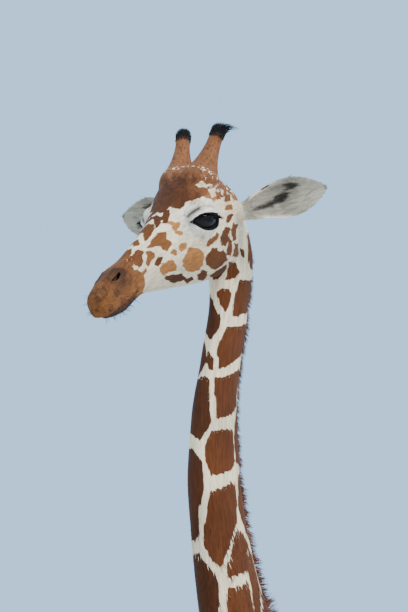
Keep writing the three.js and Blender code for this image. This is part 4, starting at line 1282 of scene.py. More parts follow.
    def ossicones(self):
        """Finely speckled brown, black towards the tip."""
        points, speckle = self.points, self.speckle
        horn = self.part == HORN_PART
        root, top = horn_point(0.0, 1), horn_point(1.0, 1)
        up_horn = ((points - root) * unit(top - root)).sum(1) / np.linalg.norm(top - root)
        around = np.linalg.norm(folded(self.h) - HORN_ROOT - [-0.03, 0.008, 0.04], axis=1)
        horn_area = np.maximum(horn, self.on_head * step(0.095, 0.06, around))
        specks = 0.014 * step(-0.2, 0.7, noise_field(points, 0.008, 18) + 0.4 * speckle)
        rooted = 0.008 - specks + 0.02 * step(0.0, 0.25, up_horn) * horn
        edge = np.where(horn_area > 0.9, rooted, np.maximum(self.patch, rooted))
        self.patch = np.where(horn_area > 0.3, edge, self.patch)
        self.on_figure(HORN_HAIR, horn_area)
        self.on_figure(DEEP, horn_area * step(0.2, 1.0, self.fine + 0.4 * speckle) * 0.7)
        self.on_figure(BLACK_HAIR, horn * step(0.74, 0.9, up_horn + 0.06 * speckle + 0.03 * self.grain))

    def ear(self, side):
        """Pale grey inside with dark streaks and a dark tip, brown flecks on the back."""
        root, axes = ear_frame(side)
        e = (self.points - root) @ axes
        here = (self.part == EAR_PART) & (self.side == side)
        share, across = e[:, 0] / EAR_LENGTH, e[:, 1]
        inner_side = step(-0.2, 0.4, self.normals @ axes[:, 2])
        tone = blend_in(np.tile(linear(EAR_BACK), (len(share), 1)), EAR_INSIDE, inner_side)
        streak = noise_field(np.stack([across * 5, share * 0.12, share * 0], 1), 0.05, 21)
        rim = np.abs(across) / np.maximum(along(EAR, np.clip(share, -0.1, 1))[:, 0], 0.01)
        shown, strength = marked(ear_pixels(self.points, side), EAR_MARKS)
        shown = shown + 0.003 * noise_field(self.comb * [1, 1, 1.6], 0.012, 22)
        tone = blend_in(tone, EAR_DARK, inner_side * step(-0.003, 0.004, shown) * strength)
        tone = blend_in(tone, EAR_DARK, inner_side * step(0.2, 1.2, streak) * bell(share, 0.5, 0.25) * 0.25)
        tone = blend_in(tone, EAR_DARK, step(0.965, 1.0, share) * 0.7)
        tone = blend_in(tone, WHITE_LID, inner_side * step(0.75, 1.0, rim) * step(0.7, 0.4, share) * 0.7)
        tone = blend_in(tone, DEEP, (1 - inner_side) * step(0.5, 1.1, self.speckle) * 0.6)
        self.ground = np.where(here[:, None], tone, self.ground)
        self.patch = np.where(here, -0.02, self.patch)

    def eye(self, side):
        """Pale round the eye, dark in the fold over it, black on the rims of the lids."""
        local = eye_plane(self.points, side)
        q = local[:, [0, 2]]
        close = (local[:, 1] > -0.01) & (self.side == side) & self.on_head
        ring = np.hypot(q[:, 0] / 0.075, (q[:, 1] - 0.004) / 0.056)
        lid = -inside_by(q, LID_LINE)
        self.on_ground(WHITE_LID, close * step(1.15, 0.75, ring))
        top, place, fall = LID_CREASE
        over = q[:, 1] - (top - fall * (q[:, 0] - place) ** 2)
        shadow = bell(over, 0.001, 0.003) * step(0.055, 0.03, np.abs(q[:, 0])) * (q[:, 1] > 0)
        streak = bell(over, 0.0015, 0.005) * step(0.008, 0.022, q[:, 0]) * step(0.066, 0.05, q[:, 0])
        corner = bell(np.hypot((q[:, 0] - 0.052) / 1.6, q[:, 1] - 0.002), 0, 0.007) * step(0.0, 0.004, lid)
        self.on_ground(DEEP, close * 0.35 * shadow)
        self.on_ground(EAR_DARK, close * np.clip(0.9 * streak + 0.5 * corner, 0, 0.92))
        rust = bell(np.hypot(q[:, 0] - 0.012, q[:, 1] - 0.055), 0, 0.012)
        rust = rust + bell(np.hypot(q[:, 0] - 0.02, q[:, 1] + 0.047), 0, 0.01)
        self.on_ground(TAN, close * 0.5 * rust)
        self.patch = np.where(close & (ring < 1.0), np.minimum(self.patch, -0.002), self.patch)
        black = 0.0022 + 0.0012 * step(0.0, 0.02, -q[:, 1] + 0.01) - lid
        self.dark = np.where(close, np.maximum(self.dark, black), self.dark)

    def mouth(self):
        """Black along the line of the mouth."""
        on_lips = (self.h[:, 0] > 0.432) & self.on_head
        self.dark = np.where(on_lips, np.maximum(self.dark, 0.0016 - np.abs(self.gap)), self.dark)

    def nostril(self, side):
        """Black round a nostril's slit and down its pit."""
        run = (NOSTRIL_ALONG * [1, side, 1]) @ HEAD_AXES.T
        away = self.points - from_head(NOSTRIL_AT, side)
        length = away @ run
        off = np.linalg.norm(away - length[:, None] * run, axis=1)
        ends = np.maximum(np.abs(length) - NOSTRIL_SIZE[0] + 0.003, 0)
        self.dark = np.maximum(self.dark, 0.0065 - np.hypot(off, ends))

    def paint(self):
        self.base_colours(self.marks())
        for group in (self.muzzle, self.crown, self.legs_and_belly, self.ossicones):
            group()
        for group in (self.ear, self.eye):
            group(1)
            group(-1)
        self.mouth()
        self.nostril(1)
        self.nostril(-1)
        return {key: getattr(self, key) for key in MARKING_KEYS}


@functools.cache
def skin_data():
    """Everything that is painted on the skin's points, by name."""
    points, _, normals = skin_form()
    part, way, comb = laid(points, normals)
    markings = Markings(points, normals, part, comb).paint()
    return {"part": part, "way": way, "comb": comb, **markings}


# ---------------------------------------------------------------- meshes and their data
ATLAS = [  # where each part lies on the unwrap: left, bottom, width, height
    (0.02, 0.62, 0.3, 0.36), (0.34, 0.5, 0.22, 0.48), (0.58, 0.5, 0.4, 0.48), (0.02, 0.02, 0.3, 0.46),
    (0.34, 0.02, 0.3, 0.46), (0.66, 0.02, 0.06, 0.46), (0.74, 0.02, 0.24, 0.22), (0.74, 0.26, 0.24, 0.22),
]  # fmt: skip
PATCH = 0.0015  # half the width of a tuft's patch on the unwrap


def unwrapped(comb, part, points):
    """Each part unrolled round its own middle: turn across its cell, length up it, the sides next to
    each other."""
    cell = np.array(ATLAS)[part]
    turn = (np.arctan2(comb[:, 0], comb[:, 1]) / (2 * np.pi)) % 1
    sided = part >= FORE_PART
    turn = np.where(sided & (part != TAIL_PART), turn / 2 + 0.5 * (points[:, 0] > 0), turn)
    length = np.array([0.72, 2.6, 1.7, 2.0, 2.0, 1.5, 0.28, 0.14])[part]
    up = np.clip(comb[:, 2] * 8 / length, 0, 1)
    return np.stack([cell[:, 0] + turn * cell[:, 2], cell[:, 1] + up * cell[:, 3]], 1)


def outwards(points, faces):
    """Faces turned so that the closed shells they make hold a volume above 0."""
    last = np.where(faces[:, 3] < 0, faces[:, 2], faces[:, 3])
    a, b, c, d = (points[faces[:, 0]], points[faces[:, 1]], points[faces[:, 2]], points[last])
    volume = (a * (np.cross(b, c) + np.cross(c, d))).sum()
    if volume > 0:
        return faces
    three = (faces[:, 3] < 0)[:, None]
    return np.where(three, faces[:, [0, 2, 1, 3]], faces[:, ::-1])


def place_piece(name, slot, points, faces, material, data=None, uv=None, smooth=True):
    """A finished piece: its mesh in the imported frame, its data as attributes, riding on root."""
    mesh = mesh_of(name, points + SHIFT, outwards(points - points.mean(0), faces))
    mesh.polygons.foreach_set("use_smooth", np.full(len(faces), smooth))
    for key, values in (data or {}).items():
        kind = "FLOAT" if values.ndim == 1 else "FLOAT_VECTOR"
        layer = mesh.attributes.new(key, kind, "POINT")
        layer.data.foreach_set("value" if kind == "FLOAT" else "vector", values.astype(np.float32).ravel())
    if uv is not None:
        corner = np.zeros(len(mesh.loops), np.int32)
        mesh.loops.foreach_get("vertex_index", corner)
        layer = mesh.uv_layers.new(name="OFBake")
        layer.data.foreach_set("uv", uv[corner].astype(np.float32).ravel())
    mesh.materials.append(material)
    piece = bpy.data.objects.new(name, mesh)
    bpy.context.scene.collection.objects.link(piece)
    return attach(piece, "root")


def locks(roots, way, side, length, width, thick, bend, segments):
    """Closed tapering locks of three-sided section. A lock runs from its root along 'way' and curves by
    'bend', so that its middle at share t is root + length * (way * t + bend * t^2); its half width is
    width/2 * (1 - t^2) and it ends in a point. Returns points, faces and each point's share t."""
    count = len(roots)
    t = np.linspace(0, 1, segments + 1)[:-1]
    run = way[:, None] * t[:, None] + bend[:, None] * t[:, None] ** 2
    middle = roots[:, None] + length[:, None, None] * run
    up = unit(np.cross(way, side))
    fall = (1 - t**2)[None, :, None]
    left = middle + fall * (width / 2)[:, None, None] * side[:, None]
    right = middle - fall * (width / 2)[:, None, None] * side[:, None]
    ridge = middle - fall * thick[:, None, None] * up[:, None]
    body = np.stack([left, right, ridge], 2).reshape(count, -1, 3)
    tip = (roots + length[:, None] * (way + bend))[:, None]
    points = np.concatenate([body, tip], 1)
    each = 3 * segments + 1
    corner = [(i, (i + 1) % 3) for i in range(3)]
    one = [(0, 2, 1, -1)]
    one += [(k + i, k + j, k + 3 + j, k + 3 + i) for k in range(0, 3 * segments - 3, 3) for i, j in corner]
    one += [(3 * segments - 3 + i, 3 * segments - 3 + j, each - 1, -1) for i, j in corner]
    one = np.array(one)[None]
    faces = one + np.where(one >= 0, 1, 0) * (np.arange(count) * each)[:, None, None]
    share = np.tile(np.append(np.repeat(t, 3), 1.0), count)
    return points.reshape(-1, 3), faces.reshape(-1, 4), share


def scattered(density, rng):
    """Roots spread over the skin by area times density: face corners and weights of each root."""
    points, faces, _ = skin_form()
    three = faces[:, 3] < 0
    triangles = np.vstack([faces[:, :3], faces[~three][:, [0, 2, 3]]])
    a, b, c = (points[triangles[:, k]] for k in range(3))
    area = np.linalg.norm(np.cross(b - a, c - a), axis=1) / 2
    expected = area * density[triangles].mean(1)
    number = rng.poisson(expected)
    corners = np.repeat(triangles, number, axis=0)
    u, v = rng.uniform(size=(2, len(corners)))
    over = u + v > 1
    u, v = np.where(over, 1 - u, u), np.where(over, 1 - v, v)
    return corners, np.stack([1 - u - v, u, v], 1)


def at_roots(values, corners, weights):
    return np.einsum("nk...,nk->n...", values[corners], weights)


def clear_of_openings(points):
    """False over the eyeballs' openings, the pits of the nostrils and the mouth's groove."""
    h = to_head(points)
    clear = np.abs(mouth_gap(h)) > 0.002
    for side in (1, -1):
        local = eye_plane(points, side)
        near = (local[:, 1] > -0.02) & (np.abs(local).max(1) < 0.08)
        clear &= ~(near & (inside_by(local[:, [0, 2]], LID_LINE) > -0.0015))
        clear &= np.linalg.norm(points - from_head(NOSTRIL_AT, side), axis=1) > 0.017
    return clear


def tufts(name, density, length, width, lift, seed):
    """A coat piece: short locks that lie along the skin where 'density' is above 0."""
    rng = np.random.default_rng(seed)
    points, _, normals = skin_form()
    data = skin_data()
    corners, weights = scattered(density, rng)
    root = at_roots(points, corners, weights)
    keep = clear_of_openings(root)
    corners, weights, root = corners[keep], weights[keep], root[keep]
    normal = unit(at_roots(normals, corners, weights))
    way = unit(at_roots(data["way"], corners, weights))
    run = at_roots(length, corners, weights) * rng.uniform(0.7, 1.25, len(root))
    wide = at_roots(width, corners, weights) * rng.uniform(0.7, 1.3, len(root))
    rise = at_roots(lift, corners, weights) * rng.uniform(0.5, 1.5, len(root))
    side = np.cross(way, normal)
    way = unit(way + side * rng.normal(0, 0.16, len(root))[:, None])
    aim = unit(way + normal * rise[:, None])
    side = unit(np.cross(aim, normal))
    start = root - normal * 0.0012
    made, faces, share = locks(start, aim, side, run, wide, wide * 0.16, -normal * (0.3 * rise)[:, None], 1)
    each = len(made) // len(root)
    tone = np.repeat(rng.uniform(-1, 1, len(root)), each)
    out = {key: np.repeat(at_roots(data[key], corners, weights), each, axis=0) for key in MARKING_KEYS}
    out["comb"] = np.repeat(at_roots(data["comb"], corners, weights), each, axis=0)
    out["tone"] = tone
    part = data["part"][corners[:, 0]]
    home = unwrapped(at_roots(data["comb"], corners, weights), part, root)
    nudge = PATCH * np.array([(-1, -1), (1, -1), (0, 0.4), (0, 1)])
    uv = (home[:, None] + nudge).reshape(-1, 2)
    return name, made, faces, out, uv


# ---------------------------------------------------------------- materials
class Nodes:
    """Short calls for building a material."""

    def __init__(self, name):
        self.material = bpy.data.materials.new(name)
        self.material.use_nodes = True
        self.tree = self.material.node_tree
        self.shader = self.tree.nodes["Principled BSDF"]

    def new(self, kind, values=(), **settings):
        node = self.tree.nodes.new(kind)
        for key, value in settings.items():
            setattr(node, key, value)
        for socket, value in dict(values).items():
            self.set(node.inputs[socket], value)
        return node

    def set(self, socket, value):
        if isinstance(value, bpy.types.NodeSocket):
            self.tree.links.new(value, socket)
        else:
            socket.default_value = value

    def attribute(self, name, output="Fac"):
        return self.new("ShaderNodeAttribute", attribute_name=name).outputs[output]

    def math(self, operation, a, b=0.0):
        return self.new("ShaderNodeMath", {0: a, 1: b}, operation=operation).outputs[0]

    def noise(self, vector, scale, detail=2.0):
        values = {"Vector": vector, "Scale": scale, "Detail": detail}
        return self.new("ShaderNodeTexNoise", values).outputs["Fac"]

    def place(self):
        return self.new("ShaderNodeTexCoord").outputs["Object"]

    def grey(self, shade):
        return self.new("ShaderNodeCombineColor", {0: shade, 1: shade, 2: shade}).outputs[0]

    def uneven(self, vector, scale, size):
        """Noise round 0, at most half of 'size' either way."""
        return self.math("MULTIPLY", self.math("SUBTRACT", self.noise(vector, scale), 0.5), size)

    def ramp(self, value, low, high, to_low=0.0, to_high=1.0):
        values = {"Value": value, "From Min": low, "From Max": high, "To Min": to_low, "To Max": to_high}
        return self.new("ShaderNodeMapRange", values, interpolation_type="SMOOTHSTEP").outputs[0]

    def mix(self, share, a, b, blend="MIX"):
        node = self.new("ShaderNodeMix", data_type="RGBA", blend_type=blend)
        for socket, value in zip((node.inputs[0], node.inputs[6], node.inputs[7]), (share, a, b)):
            self.set(socket, value)
        return node.outputs[2]

    def bump(self, height, strength, distance):
        node = self.new("ShaderNodeBump", {"Height": height, "Strength": strength, "Distance": distance})
        self.set(self.shader.inputs["Normal"], node.outputs[0])

    def finish(self, colour, roughness, **sockets):
        self.set(self.shader.inputs["Base Color"], colour)
        self.set(self.shader.inputs["Roughness"], roughness)
        for name, value in sockets.items():
            self.set(self.shader.inputs[name.replace("_", " ")], value)
        return self.material


def rgba(colour):
    return (*colour, 1.0)


@functools.cache
def coat_material(on_tufts):
    """Hair: pale ground and brown marks with hair-ragged edges, black skin at the rims, and streaks along
    the lie of the hair."""
    n = Nodes("coat_tufts" if on_tufts else "coat_skin")
    place = n.place()
    comb = n.attribute("comb", "Vector")
    hair = n.noise(comb, 420.0)
    ragged = n.uneven(comb, 95.0, coat().ragged)
    wavy = n.uneven(place, 38.0, coat().ragged * 0.55)
    edge = n.math("ADD", n.math("ADD", n.attribute("patch"), ragged), wavy)
    inside = n.ramp(edge, -0.0012, 0.0012)
    colour = n.mix(inside, n.attribute("ground", "Color"), n.attribute("figure", "Color"))
    broad = n.ramp(n.noise(place, 7.0, 3.0), 0.3, 0.7, 0.88, 1.1)
    streaks = n.ramp(n.noise(comb, 160.0), 0.25, 0.75, 0.76, 1.14)
    shade = n.math("MULTIPLY", broad, streaks)
    if on_tufts:
        tone = n.ramp(n.attribute("tone"), -1.0, 1.0, 0.72, 1.2)
    else:
        tone = n.ramp(hair, 0.2, 0.8, 0.86, 1.08)
    shade = n.math("MULTIPLY", shade, tone)
    colour = n.mix(1.0, colour, n.grey(shade), "MULTIPLY")
    wobble = n.uneven(place, 300.0, 0.001)
    bare = n.ramp(n.math("ADD", n.attribute("dark"), wobble), -0.0007, 0.0007)
    colour = n.mix(bare, colour, rgba(linear(features().rim)))
    roughness = n.ramp(bare, 0.0, 1.0, 0.85, 0.42)
    if not on_tufts:
        lumps = n.math("ADD", hair, n.math("MULTIPLY", n.noise(comb, 110.0), 1.2))
        n.bump(lumps, 0.45, 0.0016)
    return n.finish(colour, roughness, Specular_IOR_Level=0.12, Sheen_Weight=0.02, Sheen_Roughness=0.5)


@functools.cache
def long_hair_material(name):
    """Coarse hair: its own colour from root to tip, each lock a little lighter or darker."""
    n = Nodes(name)
    tone = n.ramp(n.attribute("tone"), -1.0, 1.0, 0.65, 1.35)
    fine = n.ramp(n.noise(n.place(), 260.0), 0.3, 0.7, 0.85, 1.15)
    grey = n.grey(n.math("MULTIPLY", tone, fine))
    colour = n.mix(1.0, n.attribute("figure", "Color"), grey, "MULTIPLY")
    return n.finish(colour, 0.6, Specular_IOR_Level=0.2, Sheen_Weight=0.02, Sheen_Roughness=0.4)


@functools.cache
def eye_material():
    """A wet dark eyeball: brown iris round a wide pupil, glossy, without a clear coat."""
    n = Nodes("eyeball")
    brown = linear(features().iris)
    veins = n.noise(n.place(), 180.0, 4.0)
    iris = n.mix(n.ramp(veins, 0.3, 0.7), rgba(brown), rgba(brown * 0.45))
    pupil = n.ramp(n.attribute("pupil"), 0.9, 1.12)
    colour = n.mix(pupil, rgba((0.002, 0.002, 0.003)), iris)
    rim = n.ramp(n.attribute("pupil"), 2.2, 2.9)
    colour = n.mix(rim, colour, rgba((0.006, 0.005, 0.005)))
    return n.finish(colour, 0.12, Coat_Weight=0.0, Coat_Roughness=0.04, Specular_IOR_Level=0.16)


@functools.cache
def hoof_material():
    """Horn of the claws: grey brown with growth lines, scuffed and paler at the ground."""
    n = Nodes("hoof_horn")
    place = n.place()
    level = n.attribute("height")
    rings, drift = n.math("MULTIPLY", level, 900.0), n.math("MULTIPLY", n.noise(place, 30.0), 7.0)
    wave = n.math("SINE", n.math("ADD", rings, drift))
    streak = n.noise(n.new("ShaderNodeMapping", {"Vector": place, "Scale": (1, 1, 0.12)}).outputs[0], 130.0)
    horn = linear(features().hoof)
    dark = horn * 0.45
    colour = n.mix(n.ramp(streak, 0.3, 0.7), rgba(horn), rgba(dark))
    colour = n.mix(n.ramp(wave, -1.0, 1.0, 0.0, 0.35), colour, rgba(dark))
    worn = n.math("MULTIPLY", n.ramp(level, 0.035, 0.0), n.ramp(n.noise(place, 55.0, 4.0), 0.35, 0.65))
    colour = n.mix(worn, colour, rgba((0.42, 0.36, 0.28)))
    n.bump(n.math("ADD", n.math("MULTIPLY", wave, 0.4), streak), 0.5, 0.0012)
    return n.finish(colour, n.ramp(worn, 0.0, 1.0, 0.42, 0.75), Specular_IOR_Level=0.4)


# ---------------------------------------------------------------- pieces
def eyeball(side):
    """The eyeball as an ellipsoid whose poles point outwards and inwards. 'pupil' is
    the distance from its middle in pupils, which are twice as wide as tall."""
    tilt = np.linspace(0, np.pi, 49)[1:-1, None]
    turn = np.linspace(0, 2 * np.pi, 72, endpoint=False)[None]
    nose, up, out = np.sin(tilt) * np.cos(turn), np.sin(tilt) * np.sin(turn), np.cos(tilt) + 0 * turn
    ball = np.stack([nose, out, up], -1) * EYE_RADII
    rings = from_eye_plane(ball, side)
    points, faces = closed_loft(rings if side < 0 else rings[:, ::-1])
    local = eye_plane(points, side)
    pupil = np.hypot(local[:, 0] / 0.0115, local[:, 2] / 0.0065)
    pupil = np.where(local[:, 1] < 0, 9.0, pupil)
    return points, faces, {"pupil": pupil}


def claw(foot, side, outer):
    """A claw as a stack of ovals from the sole to the coronet's slope, rounded at the sole's edge."""
    x0, y0, size = foot
    level = np.concatenate([[0.0, 0.0012, 0.004], np.linspace(0.009, 0.112, 30)])
    toe, heel, inner, outside = (along(CLAW, level) * size).T
    around = np.linspace(0, 2 * np.pi, 56, endpoint=False)
    c, s = np.cos(around), np.sin(around)
    a = np.sign(c) * np.abs(c) ** (2 / np.where(s >= 0, 2.1, 2.6))
    b = np.sign(s) * np.abs(s) ** (2 / np.where(s >= 0, 2.1, 2.6))
    x = inner[:, None] + (outside - inner)[:, None] * (0.5 + 0.5 * a - 0.25 * np.maximum(b, 0) ** 2)
    y = ((heel + toe) / 2)[:, None] - ((heel - toe) / 2)[:, None] * b
    ring = 0.0007 * np.sin(level * 2 * np.pi / 0.0075 + 1.5 * np.sin(3 * level / 0.11))
    round_edge = np.where(level < 0.004, -0.0025 * (1 - level / 0.004) ** 2, 0)
    round_edge = round_edge + ring * step(0.005, 0.015, level)
    middle = np.stack([x.mean(1), y.mean(1)], 1)
    away = np.stack([x - middle[:, :1], y - middle[:, 1:]], -1)
    far = np.linalg.norm(away, axis=-1, keepdims=True)
    away *= 1 + round_edge[:, None, None] / np.maximum(far, 0.01)
    x, y = middle[:, :1] + away[..., 0], middle[:, 1:] + away[..., 1]
    height, slope = CORONET
    top = height + 0.004 + y * np.tan(np.radians(slope))
    z = np.minimum(np.broadcast_to(level[:, None], y.shape), top)
    rings = np.stack([side * (x0 + outer * x), y0 + y, z], -1)
    points, faces = closed_loft(rings if side * outer > 0 else rings[:, ::-1])
    return points, faces, {"height": points[:, 2].copy()}


def hair_ways(roots, ways, sides, length, width, bends, segments, colour_root, colour_tip, rng, thick=0.5):
    """Long locks with their data: colour from root to tip and a tone for each lock."""
    points, faces, share = locks(roots, ways, sides, length, width, width * thick, bends, segments)
    each = len(points) // len(roots)
    root, tip = np.repeat(colour_root, each, axis=0), np.repeat(colour_tip, each, axis=0)
    figure = root + (tip - root) * (share**1.3)[:, None]
    tone = np.repeat(rng.uniform(-1, 1, len(roots)), each)
    return points, faces, {"figure": figure, "tone": tone}


def square_to(ways, sides):
    """The directions 'sides', turned until they are square to 'ways'."""
    return unit(sides - ways * (sides * ways).sum(1, keepdims=True))


def patch_uv(home, each):
    """Small patches round each lock's home on the unwrap."""
    angle = np.linspace(0, 2 * np.pi, each, endpoint=False)
    nudge = PATCH * np.stack([np.cos(angle), np.sin(angle)], 1)
    return (home[:, None] + nudge).reshape(-1, 2)


def mane_locks():
    """Stiff upright hair along the top of the neck, in clumps, reddish with paler roots in bands."""
    rng = np.random.default_rng(31)
    count = 7600
    t = rng.uniform(MANE[0][0], MANE[-1][0], count)
    clump = 0.5 + 0.5 * noise_field(np.stack([t * 1.7, 0 * t, 0 * t], 1), 0.35, 5)
    height, half = along(MANE, t).T
    across = rng.uniform(-1, 1, count)
    row = along(NECK, t)
    ahead, behind = along(NECK, t + 0.02), along(NECK, t - 0.02)
    run = unit(np.stack([0 * t, ahead[:, 0] - behind[:, 0], ahead[:, 1] - behind[:, 1]], 1))
    up = np.cross(run, [1.0, 0, 0])
    middle = np.stack([0 * t, row[:, 0], row[:, 1]], 1)
    roots = middle + up * (row[:, 3] - 0.012)[:, None] + (across * half * 0.8)[:, None] * [1, 0, 0]
    length = (height + 0.01) * hair().mane_share * (0.86 - 0.2 * across**2) * (0.84 + 0.18 * clump)
    length = length * rng.uniform(0.86, 1.05, count)
    lean = across * 0.25 + rng.normal(0, 0.06, count)
    back = -0.35 + 0.25 * clump + rng.normal(0, 0.1, count)
    ways = unit(up + lean[:, None] * [1, 0, 0] + back[:, None] * run)
    bends = -0.12 * run * rng.uniform(0.3, 1.2, count)[:, None]
    turned = rng.uniform(-0.8, 0.8, count)[:, None]
    sides = unit(np.cross(ways, [1.0, 0, 0]) + turned * np.array([1.0, 0, 0]))
    sides = square_to(ways, sides)
    pale = step(0.55, 1.1, noise_field(np.stack([t * 0.9, 0 * t, 0 * t], 1), 0.5, 9))[:, None]
    root = linear(hair().mane) * (1 - pale) + linear((0.66, 0.5, 0.38)) * pale
    tip = np.tile(linear(hair().mane) * 0.62, (count, 1))
    width = rng.uniform(0.0016, 0.0032, count)
    made = hair_ways(roots, ways, sides, length, width, bends, 3, root, tip, rng)
    home = np.stack([0.03 + 0.94 * t / 11, 0.5 + 0.4 * across], 1)
    return made, patch_uv(home, 10)


def tassel_locks():
    """The long black brush of the tail, hanging in loose waves."""
    rng = np.random.default_rng(32)
    count = 3200
    t = rng.uniform(4.2, 8.6, count)
    row = along(TAIL, t)
    around = rng.uniform(0, 2 * np.pi, count)
    out = np.stack([np.cos(around), np.sin(around), 0 * around], 1)
    core = np.where(t < 6, 0.01, 0.02) * rng.uniform(0.2, 1, count)
    roots = np.stack([0 * t, row[:, 0], row[:, 1]], 1) + out * core[:, None]
    floor_z = 0.885 + 0.05 * rng.uniform(0, 1, count)
    length = (roots[:, 2] - floor_z) * rng.uniform(0.85, 1.0, count)
    length = np.maximum(np.minimum(length, rng.uniform(0.22, 0.42, count)), 0.03)
    spread = np.clip(0.034 / length, 0.02, 0.3) * step(4.0, 6.5, t) * rng.uniform(-0.1, 1, count)
    ways = unit(out * spread[:, None] + [0, 0, -1.0])
    bends = -out * (spread * 0.55)[:, None] + 0.04 * rng.normal(size=(count, 3)) * [1, 1, 0]
    sides = unit(np.cross(ways, out))
    colour = np.tile(linear(hair().tassel), (count, 1))
    root = np.tile(linear((0.17, 0.11, 0.08)), (count, 1))
    width = rng.uniform(0.0026, 0.005, count)
    made = hair_ways(roots, ways, sides, length, width, bends, 6, root, colour, rng)
    home = np.stack([0.05 + 0.9 * around / 6.3, (t - 4.8) / 4], 1)
    return made, patch_uv(home, 19)


TUFT_LICK = np.array([0.03, 0.018, -0.008])


def horn_tuft(side):
    """Black hair round an ossicone's tip, upright on the right, licked back and outwards on the left."""
    rng = np.random.default_rng(33 + side)
    count = 1500
    share = rng.uniform(0.0, 1.0, count) ** 0.7 * 0.21 + 0.785
    around = rng.uniform(0, 2 * np.pi, count)
    axis, out = round_horn(around, side)
    radius = along(HORN, share)[:, 0] - 0.003
    roots = horn_point(share, side) + out * radius[:, None]
    top = step(0.84, 1.0, share)
    ways = unit(axis + out * (0.35 + 0.25 * (1 - top))[:, None] + rng.normal(0, 0.12, (count, 3)))
    length = 0.0065 + 0.007 * top * rng.uniform(0.5, 1.2, count)
    bends = 0 * ways + axis * 0.1
    if side > 0:
        lick = unit(TUFT_LICK)
        reach = step(0.88, 1.0, share) * step(-0.4, 0.5, out @ lick) * rng.uniform(0.4, 1.1, count)
        length = length + 0.022 * reach
        bends = bends + lick * (1.1 * reach)[:, None] - axis * (0.6 * reach)[:, None]
    sides = unit(np.cross(ways, out) + rng.normal(0, 0.2, (count, 3)))
    sides = square_to(ways, sides)
    black = np.tile(linear(BLACK_HAIR), (count, 1))
    root = np.tile(linear((0.12, 0.09, 0.07)), (count, 1))
    width = rng.uniform(0.0009, 0.0017, count)
    made = hair_ways(roots, ways, sides, length, width, bends, 3, root, black, rng)
    home = np.stack([0.05 + 0.9 * around / 6.3, share], 1)
    return made, patch_uv(home, 10)


def lashes_and_whiskers():
    """Long lashes on the upper lids, short ones below, and sparse stiff hairs on the lips and chin."""
    rng = np.random.default_rng(34)
    roots, ways, length = [], [], []
    upper, lower = (0.02, 0.48, 170, hair().lash, 0.9), (0.56, 0.95, 90, 0.006, -0.2)
    for side in (1, -1):
        for first, last, number, reach, sink in (upper, lower):
            q = closed_curve(LID_LINE, rng.uniform(first, last, number))
            q = q * rng.uniform(0.95, 1.01, (number, 1))
            n = dome(q, LID_RADII)
            roots.append(from_eye_plane(np.stack([q[:, 0], n - 0.001, q[:, 1]], 1), side))
            fan = q / np.linalg.norm(q, axis=1, keepdims=True)
            local = np.stack([fan[:, 0] * 0.5, 1 + 0 * n, fan[:, 1] * 0.4 - 0.25 * sink], 1)
            local += rng.normal(0, 0.08, local.shape)
            ways.append(unit(from_eye_plane(local, side) - from_eye_plane(0 * local, side)))
            length.append(reach * rng.uniform(0.6, 1.15, number))
    points, _, normals = skin_form()
    h = to_head(points)
    lips = np.flatnonzero((h[:, 0] > 0.46) & (h[:, 2] < -0.12) & (np.abs(mouth_gap(h)) > 0.003))
    lips = rng.choice(lips, 330)
    roots.append(points[lips])
    ways.append(unit(normals[lips] + 0.5 * skin_data()["way"][lips] + rng.normal(0, 0.15, (330, 3))))
    length.append(rng.uniform(0.006, 0.02, 330))
    roots, ways, length = np.concatenate(roots), np.concatenate(ways), np.concatenate(length)
    sides = unit(np.cross(ways, rng.normal(size=ways.shape)))
    bends = np.tile([0, 0, -0.18], (len(roots), 1))
    black = np.tile(linear((0.05, 0.04, 0.035)), (len(roots), 1))
    made = hair_ways(roots, ways, sides, length, np.full(len(roots), 0.0009), bends, 3, black, black, rng)
    home = rng.uniform(0.05, 0.95, (len(roots), 2))
    return made, patch_uv(home, 10)


